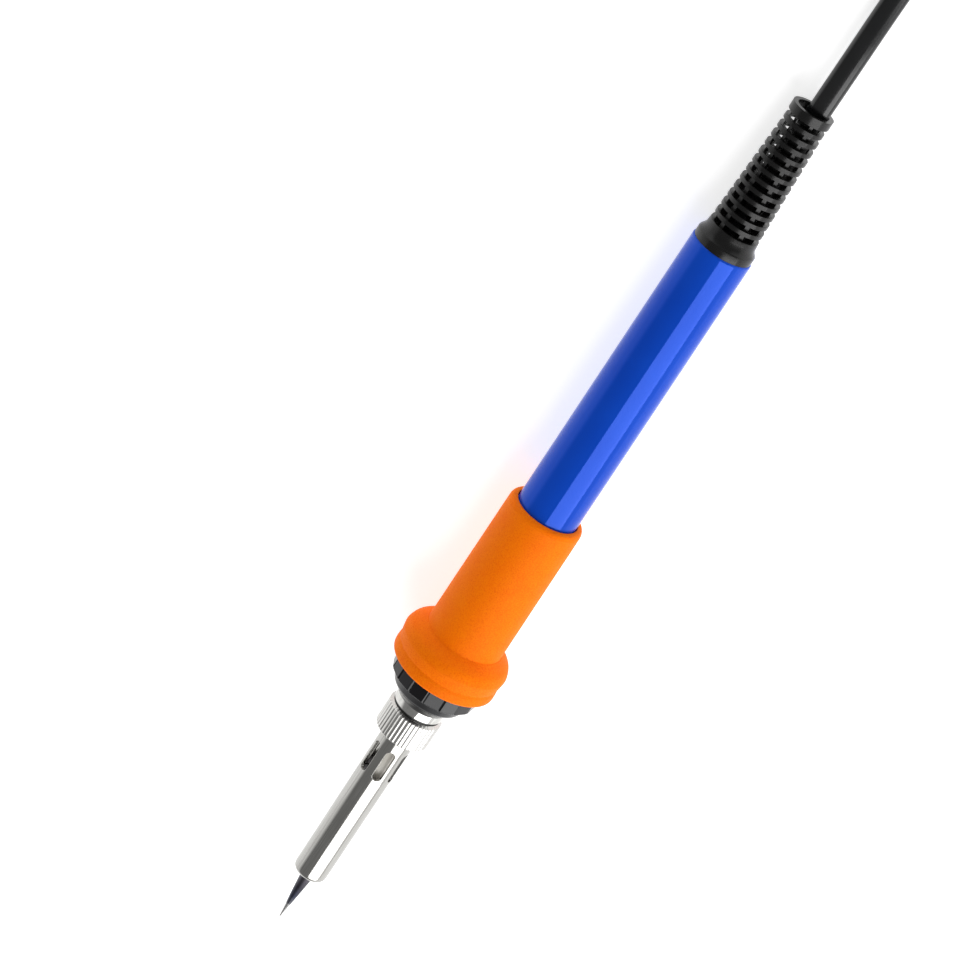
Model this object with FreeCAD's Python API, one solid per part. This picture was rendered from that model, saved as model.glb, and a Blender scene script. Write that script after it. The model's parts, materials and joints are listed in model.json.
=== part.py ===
"""Soldering iron with a coated grip, a screwed-on tip barrel and a flat mains cord.

The iron is built along its own X axis: x = 0 is the rear face of the handle tube and +X points
to the soldering tip.  lay_down() then rests it on the surface z = 0, where the handle's rear edge
and the grip's crest touch it.  The cord, its hank and the plug are built where they lie.
Millimetres throughout.
"""
import FreeCAD, Part
import math
import os

Vector = FreeCAD.Vector

# ---- handle tube -------------------------------------------------------------
HANDLE_BARE_LENGTH = 69.1      # from the rear face to the grip
HANDLE_REAR_R = 6.73
HANDLE_FRONT_R = 7.2
HANDLE_BORE_R = 5.2
HANDLE_EDGE = 0.4              # rounding of the rear edge

# ---- grip sleeve ---------------------------------------------------------------
GRIP_LENGTH = 45.0
GRIP_REAR_R = 8.65
GRIP_FRONT_R = 8.95            # just behind the crest
GRIP_CREST_R = 12.5
GRIP_WAIST_R = 12.1
GRIP_RIM_R = 12.3
GRIP_CREST_RISE = 4.2          # length over which the grip swells to the crest
GRIP_CREST_BACK = 5.6          # crest behind the front end
GRIP_WAIST_BACK = 3.0          # waist behind the front end
GRIP_REAR_EDGE = 1.4
GRIP_FRONT_EDGE = 0.5

# ---- front collar --------------------------------------------------------------
COLLAR_R = 10.2
COLLAR_RIBBED_LENGTH = 4.1
COLLAR_CONE_LENGTH = 4.7
COLLAR_SPIGOT_LENGTH = 14.0    # inside the handle tube
COLLAR_SPIGOT_WALL = 0.8
COLLAR_NOSE_STEP = 0.53        # radial, over the ring
COLLAR_FLUTES = 16
COLLAR_FLUTE_R = 0.5
COLLAR_FLUTE_DEPTH = 0.35

# ---- threaded metal sleeve -----------------------------------------------------
SLEEVE_RING_STEP = 0.5         # radial, under the nut
SLEEVE_RING_LENGTH = 2.6
SLEEVE_BORE_R = 3.0
SLEEVE_THREAD_STEP = 0.1       # radial, over the barrel's flange
SLEEVE_TAIL_LENGTH = 18.8      # inside the collar

# ---- barrel nut ----------------------------------------------------------------
NUT_WALL = 1.37                # outside the thread
NUT_LENGTH = 7.2
NUT_LIP = 0.9
NUT_TEETH = 40
NUT_TOOTH_DEPTH = 0.22
NUT_CHAMFER = 0.35
THREAD_CLEARANCE = 0.05        # radial, the nut's thread over the sleeve's
PLAY = 0.1                     # gap between faces that stop against each other

# ---- tip barrel ----------------------------------------------------------------
BARREL_R = 4.0
BARREL_WALL = 0.7
BARREL_FLANGE_RISE = 0.9
BARREL_FLANGE_LENGTH = 1.2
BARREL_UNDERCUT_DEPTH = 0.2    # behind the barrel's outer wall, in the nut's lip
BARREL_UNDERCUT_FRONT = 0.8    # in front of the nut
BARREL_FREE_LENGTH = 43.1      # from the nut's front face to the front end
BARREL_NECK_CLEARANCE = 0.2    # radial, round the tip's nose
BARREL_NECK_LENGTH = 1.3
BARREL_EDGE = 1.1
BARREL_SLIDE_CLEARANCE = 0.05  # radial, in the nut's lip
SLOT_COUNT = 6
SLOT_LENGTH = 8.1
SLOT_WIDTH = 2.2
SLOT_START = 3.5               # from the nut's front face
SLOT_ANGLE = 12.0              # degrees from the top towards +Y

# ---- tip and heater ------------------------------------------------------------
TIP_SHANK_CLEARANCE = 0.1      # radial, in the barrel
TIP_SHANK_LENGTH = 27.0
TIP_SHOULDER_LENGTH = 2.0
TIP_NOSE_R = 1.55
TIP_NOSE_LENGTH = 14.4         # in front of the barrel
TIP_POINT_R = 0.12
TIP_BORE_DEPTH = 24.0
HEATER_R = 2.0
HEATER_CLEARANCE = 0.1         # radial, in the tip's bore
HEATER_LENGTH = 64.0
HEATER_END_GAP = 0.8           # from the heater to the bottom of the tip's bore
BUSH_LENGTH = 14.0
BUSH_START = 3.0               # in front of the heater's rear end

# ---- leads, terminals and cord cores ---------------------------------------------
LEAD_R = 0.35
LEAD_EXIT_Y = 1.1
LEAD_SLEEVE_R = 0.7
LEAD_STRAIGHT = 7.0
LEAD_REACH = 22.0              # from the heater to the terminals
TERMINAL_Y = 2.4
TERMINAL_LENGTH = 16.0
TERMINAL_CRIMP_R = 1.0
TERMINAL_CRIMP_LENGTH = 5.0
TERMINAL_PLATE = 0.5
TERMINAL_PLATE_WIDTH = 3.0
BOARD_THICKNESS = 1.2
BOARD_SIDE_GAP = 0.6           # from the board's edge to the handle's bore
BOARD_OVERHANG = 3.0
RIVET_R = 0.8
RIVET_HEAD_R = 1.3
RIVET_HEAD = 0.4
CORE_R = 0.95
CORE_STRAND_R = 0.45
CORE_STRAND_LENGTH = 3.5       # bare end inside the crimp
CORE_REACH = 24.0              # from the jacket's end to the terminals

# ---- strain relief -----------------------------------------------------------------
RELIEF_LENGTH = 33.5
RELIEF_END_WALL = 1.04
RELIEF_END_LENGTH = 1.9
RELIEF_RIB_DROP = 0.2          # of the rearmost rib under the end ring
RELIEF_RIB_FRONT_R = 5.52
RELIEF_RIBS = 13
RELIEF_RIB_PITCH = 2.142
RELIEF_GAP = 1.25
RELIEF_SKIRT_R = 5.6
RELIEF_SKIRT_LENGTH = 2.25
RELIEF_COLLAR_R = 6.5
RELIEF_COLLAR_LENGTH = 1.55
RELIEF_MOUTH_CLEARANCE = 1.1   # beside the cord
RELIEF_BORE_CLEARANCE = 0.35
RELIEF_BORE_TAPER = 23.5
RELIEF_PLUG_LENGTH = 8.0       # inside the handle tube
RELIEF_POSTS = 6
RELIEF_POST_WIDTH = 1.0
RELIEF_POST_ANGLE = 24.0       # degrees from the top towards +Y
RELIEF_EDGE = 0.6
FERRULE_LENGTH = 8.0
FERRULE_WALL = 0.8

# ---- cord --------------------------------------------------------------------------
CORD_WIDTH = 4.8
CORD_THICKNESS = 3.1
CORD_SIDE = 1.0                # the cord lies this far to +Y in the relief's mouth
# From the mouth of the strain relief: back along X, across Y, and height above the surface.
LEAD_IN = [(-11.5, 1.1, 4.2), (-24.0, 1.2, 2.7), (-36.0, 1.5, 1.7), (-44.0, 1.9, 1.7)]

# ---- hank, ties and plug -----------------------------------------------------------
HANK_START = 51.7              # near folds' centre, behind the relief's mouth
HANK_RUN = 81.0
HANK_SIDE = -13.0              # middle of the hank across Y
HANK_FOLD_R = 15.4
HANK_TURNS = 5                 # stacked flat on each other
TURN_GAP = 0.05
TIE_THICKNESS = 0.6
TIE_WIDTH = 4.0
TIE_PLACES = [(0.62, 1), (0.34, -1)]   # share of the run from the near folds, side
TIE_TAIL = 8.0
TIE_TAIL_R = 0.7
PLUG_REST = 6.9                # height of the plug's middle over the hank's top
PLUG_WIDTH = 35.3
PLUG_THICKNESS = 13.7
PLUG_FULL_LENGTH = 17.0
PLUG_TAPER_LENGTH = 19.0
PLUG_REAR_WIDTH = 14.0
PLUG_REAR_THICKNESS = 10.6
PLUG_TAIL_LENGTH = 25.0
PLUG_TAIL_WIDTH = 10.6
PLUG_TAIL_THICKNESS = 9.0
PLUG_TAIL_END_WIDTH = 6.6
PLUG_TAIL_END_THICKNESS = 4.9
PIN_SPACING = 18.6             # at the plug's face
PIN_TIP_SPACING = 17.5
PIN_LENGTH = 19.0
PIN_R = 2.0
PIN_SLEEVE_DROP = 0.3          # radial, of the pin's sleeve under the pin
PIN_SLEEVE_LENGTH = 9.0
PIN_SHANK_R = 1.45
PIN_EMBEDDED = 8.0
PLUG_TAIL_BACK = 50.0          # the tail's end behind the near folds' centre
FOLD_RISE = (0.2, 0.6, 1.0, 1.0)    # of a turn's pitch, at the near fold's four points
# The climb on to the hank after the last near fold: back along X from the near folds' centre,
# across Y from the hank's middle, and height above the hank's top.
CLIMB = [(-11.0, 15.2, 2.1), (-20.0, 10.9, 3.7), (-30.0, 3.4, 5.9), (-39.0, 0.0, 6.9)]

# ---- radii that follow from others -----------------------------------------------------
COLLAR_BORE_R = HANDLE_BORE_R - COLLAR_SPIGOT_WALL
BARREL_BORE_R = BARREL_R - BARREL_WALL
BARREL_FLANGE_R = BARREL_R + BARREL_FLANGE_RISE
BARREL_UNDERCUT_R = BARREL_R - BARREL_UNDERCUT_DEPTH
BARREL_NECK_R = TIP_NOSE_R + BARREL_NECK_CLEARANCE
SLEEVE_THREAD_R = BARREL_FLANGE_R + SLEEVE_THREAD_STEP
NUT_R = SLEEVE_THREAD_R + NUT_WALL
SLEEVE_RING_R = NUT_R - SLEEVE_RING_STEP
COLLAR_NOSE_R = SLEEVE_RING_R + COLLAR_NOSE_STEP
BOARD_WIDTH = 2 * (HANDLE_BORE_R - BOARD_SIDE_GAP)
RELIEF_BORE_R = CORD_WIDTH / 2 + RELIEF_BORE_CLEARANCE
RELIEF_MOUTH_R = CORD_WIDTH / 2 + RELIEF_MOUTH_CLEARANCE
RELIEF_END_R = RELIEF_MOUTH_R + RELIEF_END_WALL
RELIEF_RIB_REAR_R = RELIEF_END_R - RELIEF_RIB_DROP
PIN_SLEEVE_R = PIN_R - PIN_SLEEVE_DROP

# ---- stations along the iron ---------------------------------------------------------
GRIP_REAR = HANDLE_BARE_LENGTH
GRIP_FRONT = GRIP_REAR + GRIP_LENGTH
COLLAR_SHOULDER = GRIP_FRONT + COLLAR_RIBBED_LENGTH
COLLAR_NOSE = COLLAR_SHOULDER + COLLAR_CONE_LENGTH
RING_FRONT = COLLAR_NOSE + SLEEVE_RING_LENGTH
NUT_REAR = RING_FRONT + PLAY
NUT_FRONT = NUT_REAR + NUT_LENGTH
FLANGE_FRONT = NUT_FRONT - NUT_LIP - PLAY
FLANGE_REAR = FLANGE_FRONT - BARREL_FLANGE_LENGTH
THREAD_FRONT = FLANGE_REAR - PLAY
UNDERCUT_FRONT = NUT_FRONT + BARREL_UNDERCUT_FRONT
BARREL_FRONT = NUT_FRONT + BARREL_FREE_LENGTH
NECK_REAR = BARREL_FRONT - BARREL_NECK_LENGTH
TIP_POINT = BARREL_FRONT + TIP_NOSE_LENGTH
TIP_SHOULDER = NECK_REAR - PLAY
TIP_REAR = TIP_SHOULDER - TIP_SHOULDER_LENGTH - TIP_SHANK_LENGTH
TIP_BORE_FRONT = TIP_REAR + TIP_BORE_DEPTH
HEATER_FRONT = TIP_BORE_FRONT - HEATER_END_GAP
HEATER_REAR = HEATER_FRONT - HEATER_LENGTH
TERMINAL_FRONT = HEATER_REAR - LEAD_REACH
TERMINAL_REAR = TERMINAL_FRONT - TERMINAL_LENGTH
JACKET_FRONT = TERMINAL_REAR - CORE_REACH
RELIEF_REAR = -RELIEF_LENGTH
TERMINAL_Z = BOARD_THICKNESS / 2 + TERMINAL_PLATE + TERMINAL_CRIMP_R * 0.9

# ---- how the iron rests ------------------------------------------------------------------
CREST = GRIP_FRONT - GRIP_CREST_BACK
REST_SLOPE = (GRIP_CREST_R - HANDLE_REAR_R) / (CREST - HANDLE_EDGE)
REST_ANGLE = math.atan(REST_SLOPE)
REST_COS = math.cos(REST_ANGLE)
REST_SIN = math.sin(REST_ANGLE)
AXIS_HEIGHT = HANDLE_REAR_R * REST_COS - HANDLE_EDGE * REST_SIN     # at x = 0
REAR_EXTREME = (
    (RELIEF_REAR + RELIEF_EDGE) * REST_COS - (RELIEF_END_R - RELIEF_EDGE) * REST_SIN - RELIEF_EDGE
)
MIDDLE = (REAR_EXTREME + TIP_POINT * REST_COS) / 2


def placed(x, y=0.0, z=0.0):
    """Where a point of the iron's own frame lies once the iron rests on the surface."""
    return Vector(
        x * REST_COS - z * REST_SIN - MIDDLE, y, x * REST_SIN + z * REST_COS + AXIS_HEIGHT
    )


def lay_down(shape):
    """The shape, moved from the iron's own frame to where the iron rests."""
    rested = shape.copy()
    rested.rotate(Vector(0, 0, 0), Vector(0, 1, 0), -math.degrees(REST_ANGLE))
    rested.translate(Vector(-MIDDLE, 0, AXIS_HEIGHT))
    return rested


def turned(outline):
    """Solid turned about the X axis. An entry is a point (x, r) or an arc, (point on it, its end)."""
    edges = []
    here = outline[0]
    for entry in outline[1:] + outline[:1]:
        start = Vector(here[0], 0, here[1])
        if isinstance(entry[0], tuple):
            through, here = entry
            end = Vector(here[0], 0, here[1])
            edges.append(Part.Arc(start, Vector(through[0], 0, through[1]), end).toShape())
        else:
            here = entry
            edges.append(Part.LineSegment(start, Vector(here[0], 0, here[1])).toShape())
    face = Part.Face(Part.Wire(edges))
    return face.revolve(Vector(0, 0, 0), Vector(1, 0, 0), 360)


def rear_edge(x, r, edge):
    """Rounded outer edge of a rear face at x, for an outline that runs forwards."""
    inset = edge * (1 - math.sqrt(0.5))
    return [(x, r - edge), ((x + inset, r - inset), (x + edge, r))]


def front_edge(x, r, edge):
    """Rounded outer edge of a front face at x, for an outline that runs forwards."""
    inset = edge * (1 - math.sqrt(0.5))
    return [(x - edge, r), ((x - inset, r - inset), (x, r - edge))]


def rod(x, length, r, y=0.0, z=0.0):
    """Round bar along X."""
    return Part.makeCylinder(r, length, Vector(x, y, z), Vector(1, 0, 0))


def around_axis(shape, count, start=0.0):
    """Copies of a shape evenly spaced about the X axis; start is an angle in degrees."""
    copies = []
    for index in range(count):
        copy = shape.copy()
        # from +Z towards +Y, which is against the right-hand rule about +X
        copy.rotate(Vector(0, 0, 0), Vector(1, 0, 0), -(start + index * 360.0 / count))
        copies.append(copy)
    return copies


def oval_wire(width, thickness, x, y=0.0, z=0.0):
    """Outline of a flat oval section in a plane across X: straight faces and round sides."""
    r = thickness / 2
    flat = width / 2 - r
    corners = [(flat, r), (flat, -r), (-flat, -r), (-flat, r)]
    points = [Vector(x, y + across, z + up) for across, up in corners]
    right = Vector(x, y + width / 2, z)
    left = Vector(x, y - width / 2, z)
    return Part.Wire([
        Part.Arc(points[0], right, points[1]).toShape(),
        Part.LineSegment(points[1], points[2]).toShape(),
        Part.Arc(points[2], left, points[3]).toShape(),
        Part.LineSegment(points[3], points[0]).toShape(),
    ])


def oval_bar(width, thickness, start, end):
    """Flat oval bar between two points; its ends are across X."""
    face = Part.Face(oval_wire(width, thickness, start.x, start.y, start.z))
    return face.extrude(end - start)


def route_wire(points):
    """Straight runs joined by tangent arcs, and the radii of the arcs."""
    edges = []
    radii = []
    here = points[0]
    for before, corner, after in zip(points, points[1:], points[2:]):
        back = before - corner
        ahead = after - corner
        half_turn = (math.pi - back.getAngle(ahead)) / 2
        cut = 0.45 * min(back.Length, ahead.Length)
        radius = cut / math.tan(half_turn)
        back.normalize()
        ahead.normalize()
        start = corner + back * cut
        end = corner + ahead * cut
        inward = (back + ahead).normalize()
        middle = corner + inward * (radius / math.cos(half_turn) - radius)
        edges.append(Part.LineSegment(here, start).toShape())
        edges.append(Part.Arc(start, middle, end).toShape())
        radii.append(radius)
        here = end
    edges.append(Part.LineSegment(here, points[-1]).toShape())
    return Part.Wire(edges), radii


def tube_along(name, points, r):
    """Round bar along a route."""
    wire, radii = route_wire(points)
    ring = Part.Wire(Part.makeCircle(r, points[0], points[1] - points[0]))
    tube = wire.makePipeShell([ring], True, False)
    expected = math.pi * r * r * wire.Length
    print(
        name, "length", round(wire.Length, 1), "volume / (section x length)",
        round(tube.Volume / expected, 4), "arc radii", [round(radius, 1) for radius in radii],
    )
    return tube


# ---- the iron, rear to front ---------------------------------------------------------

def make_strain_relief():
    skirt_front = -RELIEF_COLLAR_LENGTH
    skirt_rear = skirt_front - RELIEF_SKIRT_LENGTH
    ribs_front = skirt_rear
    ribs_rear = RELIEF_REAR + RELIEF_END_LENGTH
    flare = RELIEF_COLLAR_R - RELIEF_SKIRT_R
    body = turned(
        [(RELIEF_REAR, RELIEF_MOUTH_R)]
        + rear_edge(RELIEF_REAR, RELIEF_END_R, RELIEF_EDGE)
        + [
            (ribs_rear, RELIEF_END_R),
            (ribs_rear, RELIEF_RIB_REAR_R),
            (ribs_front, RELIEF_RIB_FRONT_R),
            (skirt_rear, RELIEF_SKIRT_R),
            (
                (skirt_rear + RELIEF_SKIRT_LENGTH * 0.6, RELIEF_SKIRT_R + flare * 0.3),
                (skirt_front, RELIEF_COLLAR_R),
            ),
            (0.0, RELIEF_COLLAR_R),
            (0.0, HANDLE_BORE_R),
            (RELIEF_PLUG_LENGTH, HANDLE_BORE_R),
            (RELIEF_PLUG_LENGTH, RELIEF_BORE_R),
            (RELIEF_REAR + RELIEF_BORE_TAPER, RELIEF_BORE_R),
        ]
    )
    gaps = [
        rod(ribs_rear + index * RELIEF_RIB_PITCH, RELIEF_GAP, RELIEF_COLLAR_R)
        for index in range(RELIEF_RIBS)
    ]
    post = Part.makeBox(
        ribs_front - ribs_rear + 2 * RELIEF_GAP, RELIEF_POST_WIDTH, RELIEF_COLLAR_R,
        Vector(ribs_rear - RELIEF_GAP, -RELIEF_POST_WIDTH / 2, 0),
    )
    posts = around_axis(post, RELIEF_POSTS, RELIEF_POST_ANGLE)
    openings = Part.makeCompound(gaps).cut(posts)
    return body.cut(openings)


def make_inner_cord():
    mouth = Vector(RELIEF_REAR, CORD_SIDE, 0)
    straight = Vector(RELIEF_REAR + RELIEF_BORE_TAPER, 0, 0)
    slanted = oval_bar(CORD_WIDTH, CORD_THICKNESS, mouth, straight)
    inside = oval_bar(CORD_WIDTH, CORD_THICKNESS, straight, Vector(JACKET_FRONT, 0, 0))
    return slanted.fuse(inside).removeSplitter()


def make_cord_ferrule():
    start = Vector(RELIEF_PLUG_LENGTH, 0, 0)
    end = Vector(RELIEF_PLUG_LENGTH + FERRULE_LENGTH, 0, 0)
    outer = oval_bar(CORD_WIDTH + 2 * FERRULE_WALL, CORD_THICKNESS + 2 * FERRULE_WALL, start, end)
    return outer.cut(oval_bar(CORD_WIDTH, CORD_THICKNESS, start, end))


def make_core(side):
    half_pitch = CORD_WIDTH / 4
    points = [
        Vector(JACKET_FRONT, side * half_pitch, 0),
        Vector(JACKET_FRONT + CORE_REACH * 0.35, side * half_pitch, 0),
        Vector(JACKET_FRONT + CORE_REACH * 0.65, side * TERMINAL_Y, TERMINAL_Z),
        Vector(TERMINAL_REAR, side * TERMINAL_Y, TERMINAL_Z),
    ]
    return tube_along("core", points, CORE_R)


def make_core_strands():
    return [
        rod(TERMINAL_REAR, CORE_STRAND_LENGTH, CORE_STRAND_R, side * TERMINAL_Y, TERMINAL_Z)
        for side in (1, -1)
    ]


def make_terminal(side):
    y = side * TERMINAL_Y
    top = BOARD_THICKNESS / 2
    plate = Part.makeBox(
        TERMINAL_LENGTH, TERMINAL_PLATE_WIDTH, TERMINAL_PLATE,
        Vector(TERMINAL_REAR, y - TERMINAL_PLATE_WIDTH / 2, top),
    )
    rear_crimp = rod(TERMINAL_REAR, TERMINAL_CRIMP_LENGTH, TERMINAL_CRIMP_R, y, TERMINAL_Z)
    front_crimp = rod(
        TERMINAL_FRONT - TERMINAL_CRIMP_LENGTH, TERMINAL_CRIMP_LENGTH, TERMINAL_CRIMP_R, y,
        TERMINAL_Z,
    )
    terminal = plate.fuse([rear_crimp, front_crimp])
    strand_hole = rod(TERMINAL_REAR, CORE_STRAND_LENGTH, CORE_STRAND_R, y, TERMINAL_Z)
    lead_hole = rod(
        TERMINAL_FRONT - CORE_STRAND_LENGTH, CORE_STRAND_LENGTH, LEAD_R, y, TERMINAL_Z
    )
    rivet_hole = Part.makeCylinder(
        RIVET_R, TERMINAL_PLATE, Vector(TERMINAL_REAR + TERMINAL_LENGTH / 2, y, top)
    )
    return terminal.cut([strand_hole, lead_hole, rivet_hole])


def make_terminal_rivets():
    rivets = []
    for side in (1, -1):
        x = TERMINAL_REAR + TERMINAL_LENGTH / 2
        y = side * TERMINAL_Y
        bottom = -BOARD_THICKNESS / 2
        top = BOARD_THICKNESS / 2 + TERMINAL_PLATE
        shank = Part.makeCylinder(RIVET_R, top - bottom, Vector(x, y, bottom))
        lower = Part.makeCylinder(RIVET_HEAD_R, RIVET_HEAD, Vector(x, y, bottom - RIVET_HEAD))
        upper = Part.makeCylinder(RIVET_HEAD_R, RIVET_HEAD, Vector(x, y, top))
        rivets.append(shank.fuse([lower, upper]))
    return rivets


def make_terminal_board():
    board = Part.makeBox(
        TERMINAL_LENGTH + 2 * BOARD_OVERHANG, BOARD_WIDTH, BOARD_THICKNESS,
        Vector(TERMINAL_REAR - BOARD_OVERHANG, -BOARD_WIDTH / 2, -BOARD_THICKNESS / 2),
    )
    holes = [
        Part.makeCylinder(
            RIVET_R, BOARD_THICKNESS,
            Vector(TERMINAL_REAR + TERMINAL_LENGTH / 2, side * TERMINAL_Y, -BOARD_THICKNESS / 2),
        )
        for side in (1, -1)
    ]
    clear_of_cores = Part.makeBox(
        BOARD_OVERHANG, BOARD_WIDTH, BOARD_THICKNESS,
        Vector(TERMINAL_REAR - BOARD_OVERHANG, -BOARD_WIDTH / 2, -BOARD_THICKNESS / 2),
    )
    return board.cut(holes + [clear_of_cores])


def lead_points(side):
    return [
        Vector(HEATER_REAR, side * LEAD_EXIT_Y, 0),
        Vector(HEATER_REAR - LEAD_STRAIGHT, side * LEAD_EXIT_Y, 0),
        Vector(TERMINAL_FRONT + LEAD_STRAIGHT, side * TERMINAL_Y, TERMINAL_Z),
        Vector(TERMINAL_FRONT, side * TERMINAL_Y, TERMINAL_Z),
    ]


def make_lead(side):
    wire = tube_along("lead", lead_points(side), LEAD_R)
    end = rod(
        TERMINAL_FRONT - CORE_STRAND_LENGTH, CORE_STRAND_LENGTH, LEAD_R, side * TERMINAL_Y,
        TERMINAL_Z,
    )
    return wire.fuse(end).removeSplitter()


def make_lead_sleeve(side):
    points = lead_points(side)
    return tube_along("sleeving", points, LEAD_SLEEVE_R).cut(
        tube_along("its bore", points, LEAD_R)
    )


def make_handle_tube():
    return turned(
        [(0.0, HANDLE_BORE_R)]
        + rear_edge(0.0, HANDLE_REAR_R, HANDLE_EDGE)
        + [
            (GRIP_REAR, HANDLE_FRONT_R),
            (GRIP_FRONT, HANDLE_FRONT_R),
            (GRIP_FRONT, HANDLE_BORE_R),
        ]
    )


def make_grip_sleeve():
    swell = CREST - GRIP_CREST_RISE
    rise = GRIP_CREST_R - GRIP_FRONT_R
    return turned(
        [(GRIP_REAR, HANDLE_FRONT_R)]
        + rear_edge(GRIP_REAR, GRIP_REAR_R, min(GRIP_REAR_EDGE, GRIP_REAR_R - HANDLE_FRONT_R - 0.05))
        + [
            (swell, GRIP_FRONT_R),
            ((swell + GRIP_CREST_RISE * 0.42, GRIP_FRONT_R + rise * 0.66), (CREST, GRIP_CREST_R)),
            (GRIP_FRONT - GRIP_WAIST_BACK, GRIP_WAIST_R),
        ]
        + front_edge(GRIP_FRONT, GRIP_RIM_R, GRIP_FRONT_EDGE)
        + [(GRIP_FRONT, HANDLE_FRONT_R)]
    )


def make_front_collar():
    collar = turned([
        (GRIP_FRONT - COLLAR_SPIGOT_LENGTH, COLLAR_BORE_R),
        (GRIP_FRONT - COLLAR_SPIGOT_LENGTH, HANDLE_BORE_R),
        (GRIP_FRONT, HANDLE_BORE_R),
        (GRIP_FRONT, COLLAR_R),
        (COLLAR_SHOULDER, COLLAR_R),
        (COLLAR_NOSE, COLLAR_NOSE_R),
        (COLLAR_NOSE, COLLAR_BORE_R),
    ])
    centre = COLLAR_R - COLLAR_FLUTE_DEPTH + COLLAR_FLUTE_R
    flute = rod(GRIP_FRONT, COLLAR_RIBBED_LENGTH, COLLAR_FLUTE_R, 0.0, centre)
    return collar.cut(around_axis(flute, COLLAR_FLUTES))


def make_thread_sleeve():
    tail_rear = COLLAR_NOSE - SLEEVE_TAIL_LENGTH
    return turned([
        (tail_rear, SLEEVE_BORE_R),
        (tail_rear, COLLAR_BORE_R),
        (COLLAR_NOSE, COLLAR_BORE_R),
        (COLLAR_NOSE, SLEEVE_RING_R),
        (RING_FRONT, SLEEVE_RING_R),
        (RING_FRONT, SLEEVE_THREAD_R),
        (THREAD_FRONT, SLEEVE_THREAD_R),
        (THREAD_FRONT, SLEEVE_BORE_R),
    ])


def make_insulator_bush():
    start = HEATER_REAR + BUSH_START
    return rod(start, BUSH_LENGTH, SLEEVE_BORE_R).cut(rod(start, BUSH_LENGTH, HEATER_R))


def make_heater_rod():
    return rod(HEATER_REAR, HEATER_LENGTH, HEATER_R)


def make_barrel_nut():
    points = []
    for index in range(2 * NUT_TEETH):
        angle = math.pi * index / NUT_TEETH
        r = NUT_R - NUT_TOOTH_DEPTH * (index % 2)
        points.append(Vector(NUT_REAR, r * math.sin(angle), r * math.cos(angle)))
    toothed = Part.Face(Part.makePolygon(points + points[:1])).extrude(Vector(NUT_LENGTH, 0, 0))
    blank = turned([
        (NUT_REAR, 0.0),
        (NUT_REAR, NUT_R),
        (NUT_FRONT - NUT_CHAMFER, NUT_R),
        (NUT_FRONT, NUT_R - NUT_CHAMFER),
        (NUT_FRONT, 0.0),
    ])
    thread = rod(NUT_REAR, NUT_LENGTH - NUT_LIP, SLEEVE_THREAD_R + THREAD_CLEARANCE)
    mouth = rod(NUT_REAR, NUT_LENGTH, BARREL_R + BARREL_SLIDE_CLEARANCE)
    return toothed.common(blank).cut([thread, mouth])


def make_tip_barrel():
    barrel = turned(
        [
            (FLANGE_REAR, BARREL_BORE_R),
            (FLANGE_REAR, BARREL_FLANGE_R),
            (FLANGE_FRONT, BARREL_FLANGE_R),
            (FLANGE_FRONT, BARREL_UNDERCUT_R),
            (UNDERCUT_FRONT, BARREL_UNDERCUT_R),
            (UNDERCUT_FRONT, BARREL_R),
        ]
        + front_edge(BARREL_FRONT, BARREL_R, BARREL_EDGE)
        + [
            (BARREL_FRONT, BARREL_NECK_R),
            (NECK_REAR, BARREL_NECK_R),
            (NECK_REAR, BARREL_BORE_R),
        ]
    )
    start = NUT_FRONT + SLOT_START
    half = SLOT_WIDTH / 2
    middle = Part.makeBox(
        SLOT_LENGTH - SLOT_WIDTH, SLOT_WIDTH, BARREL_FLANGE_R, Vector(start + half, -half, 0)
    )
    ends = [
        Part.makeCylinder(half, BARREL_FLANGE_R, Vector(x, 0, 0))
        for x in (start + half, start + SLOT_LENGTH - half)
    ]
    slot = middle.fuse(ends)
    return barrel.cut(around_axis(slot, SLOT_COUNT, SLOT_ANGLE))


def make_tip():
    shank_r = BARREL_BORE_R - TIP_SHANK_CLEARANCE
    tip = turned([
        (TIP_REAR, HEATER_R + HEATER_CLEARANCE),
        (TIP_REAR, shank_r),
        (TIP_SHOULDER - TIP_SHOULDER_LENGTH, shank_r),
        (TIP_SHOULDER, TIP_NOSE_R),
        (BARREL_FRONT, TIP_NOSE_R),
        (TIP_POINT, TIP_POINT_R),
        (TIP_POINT, 0.0),
        (TIP_BORE_FRONT, 0.0),
        (TIP_BORE_FRONT, HEATER_R + HEATER_CLEARANCE),
    ])
    return tip


# ---- the cord and what is on it, where they lie --------------------------------------------

MOUTH = placed(RELIEF_REAR, CORD_SIDE)
NEAR_X = MOUTH.x - HANK_START
FAR_X = NEAR_X - HANK_RUN
TURN_PITCH = CORD_THICKNESS + TURN_GAP
HANK_BOTTOM = TIE_THICKNESS
HANK_HEIGHT = HANK_TURNS * TURN_PITCH
HANK_TOP = HANK_BOTTOM + HANK_HEIGHT
FIRST_TURN_Z = HANK_BOTTOM + TURN_PITCH / 2
LAST_TURN_Z = HANK_TOP - TURN_PITCH / 2
PLUG_Z = HANK_TOP + PLUG_REST
TAIL_X = NEAR_X - PLUG_TAIL_BACK
PLUG_REAR_X = TAIL_X - PLUG_TAIL_LENGTH
PLUG_FACE_X = PLUG_REAR_X - PLUG_TAPER_LENGTH - PLUG_FULL_LENGTH


def make_cord():
    points = [MOUTH]
    points += [Vector(MOUTH.x + back, y, z) for back, y, z in LEAD_IN]
    points.append(Vector(NEAR_X, HANK_SIDE + HANK_FOLD_R, FIRST_TURN_Z))
    return tube_along("cord", points, CORD_THICKNESS / 2)


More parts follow.
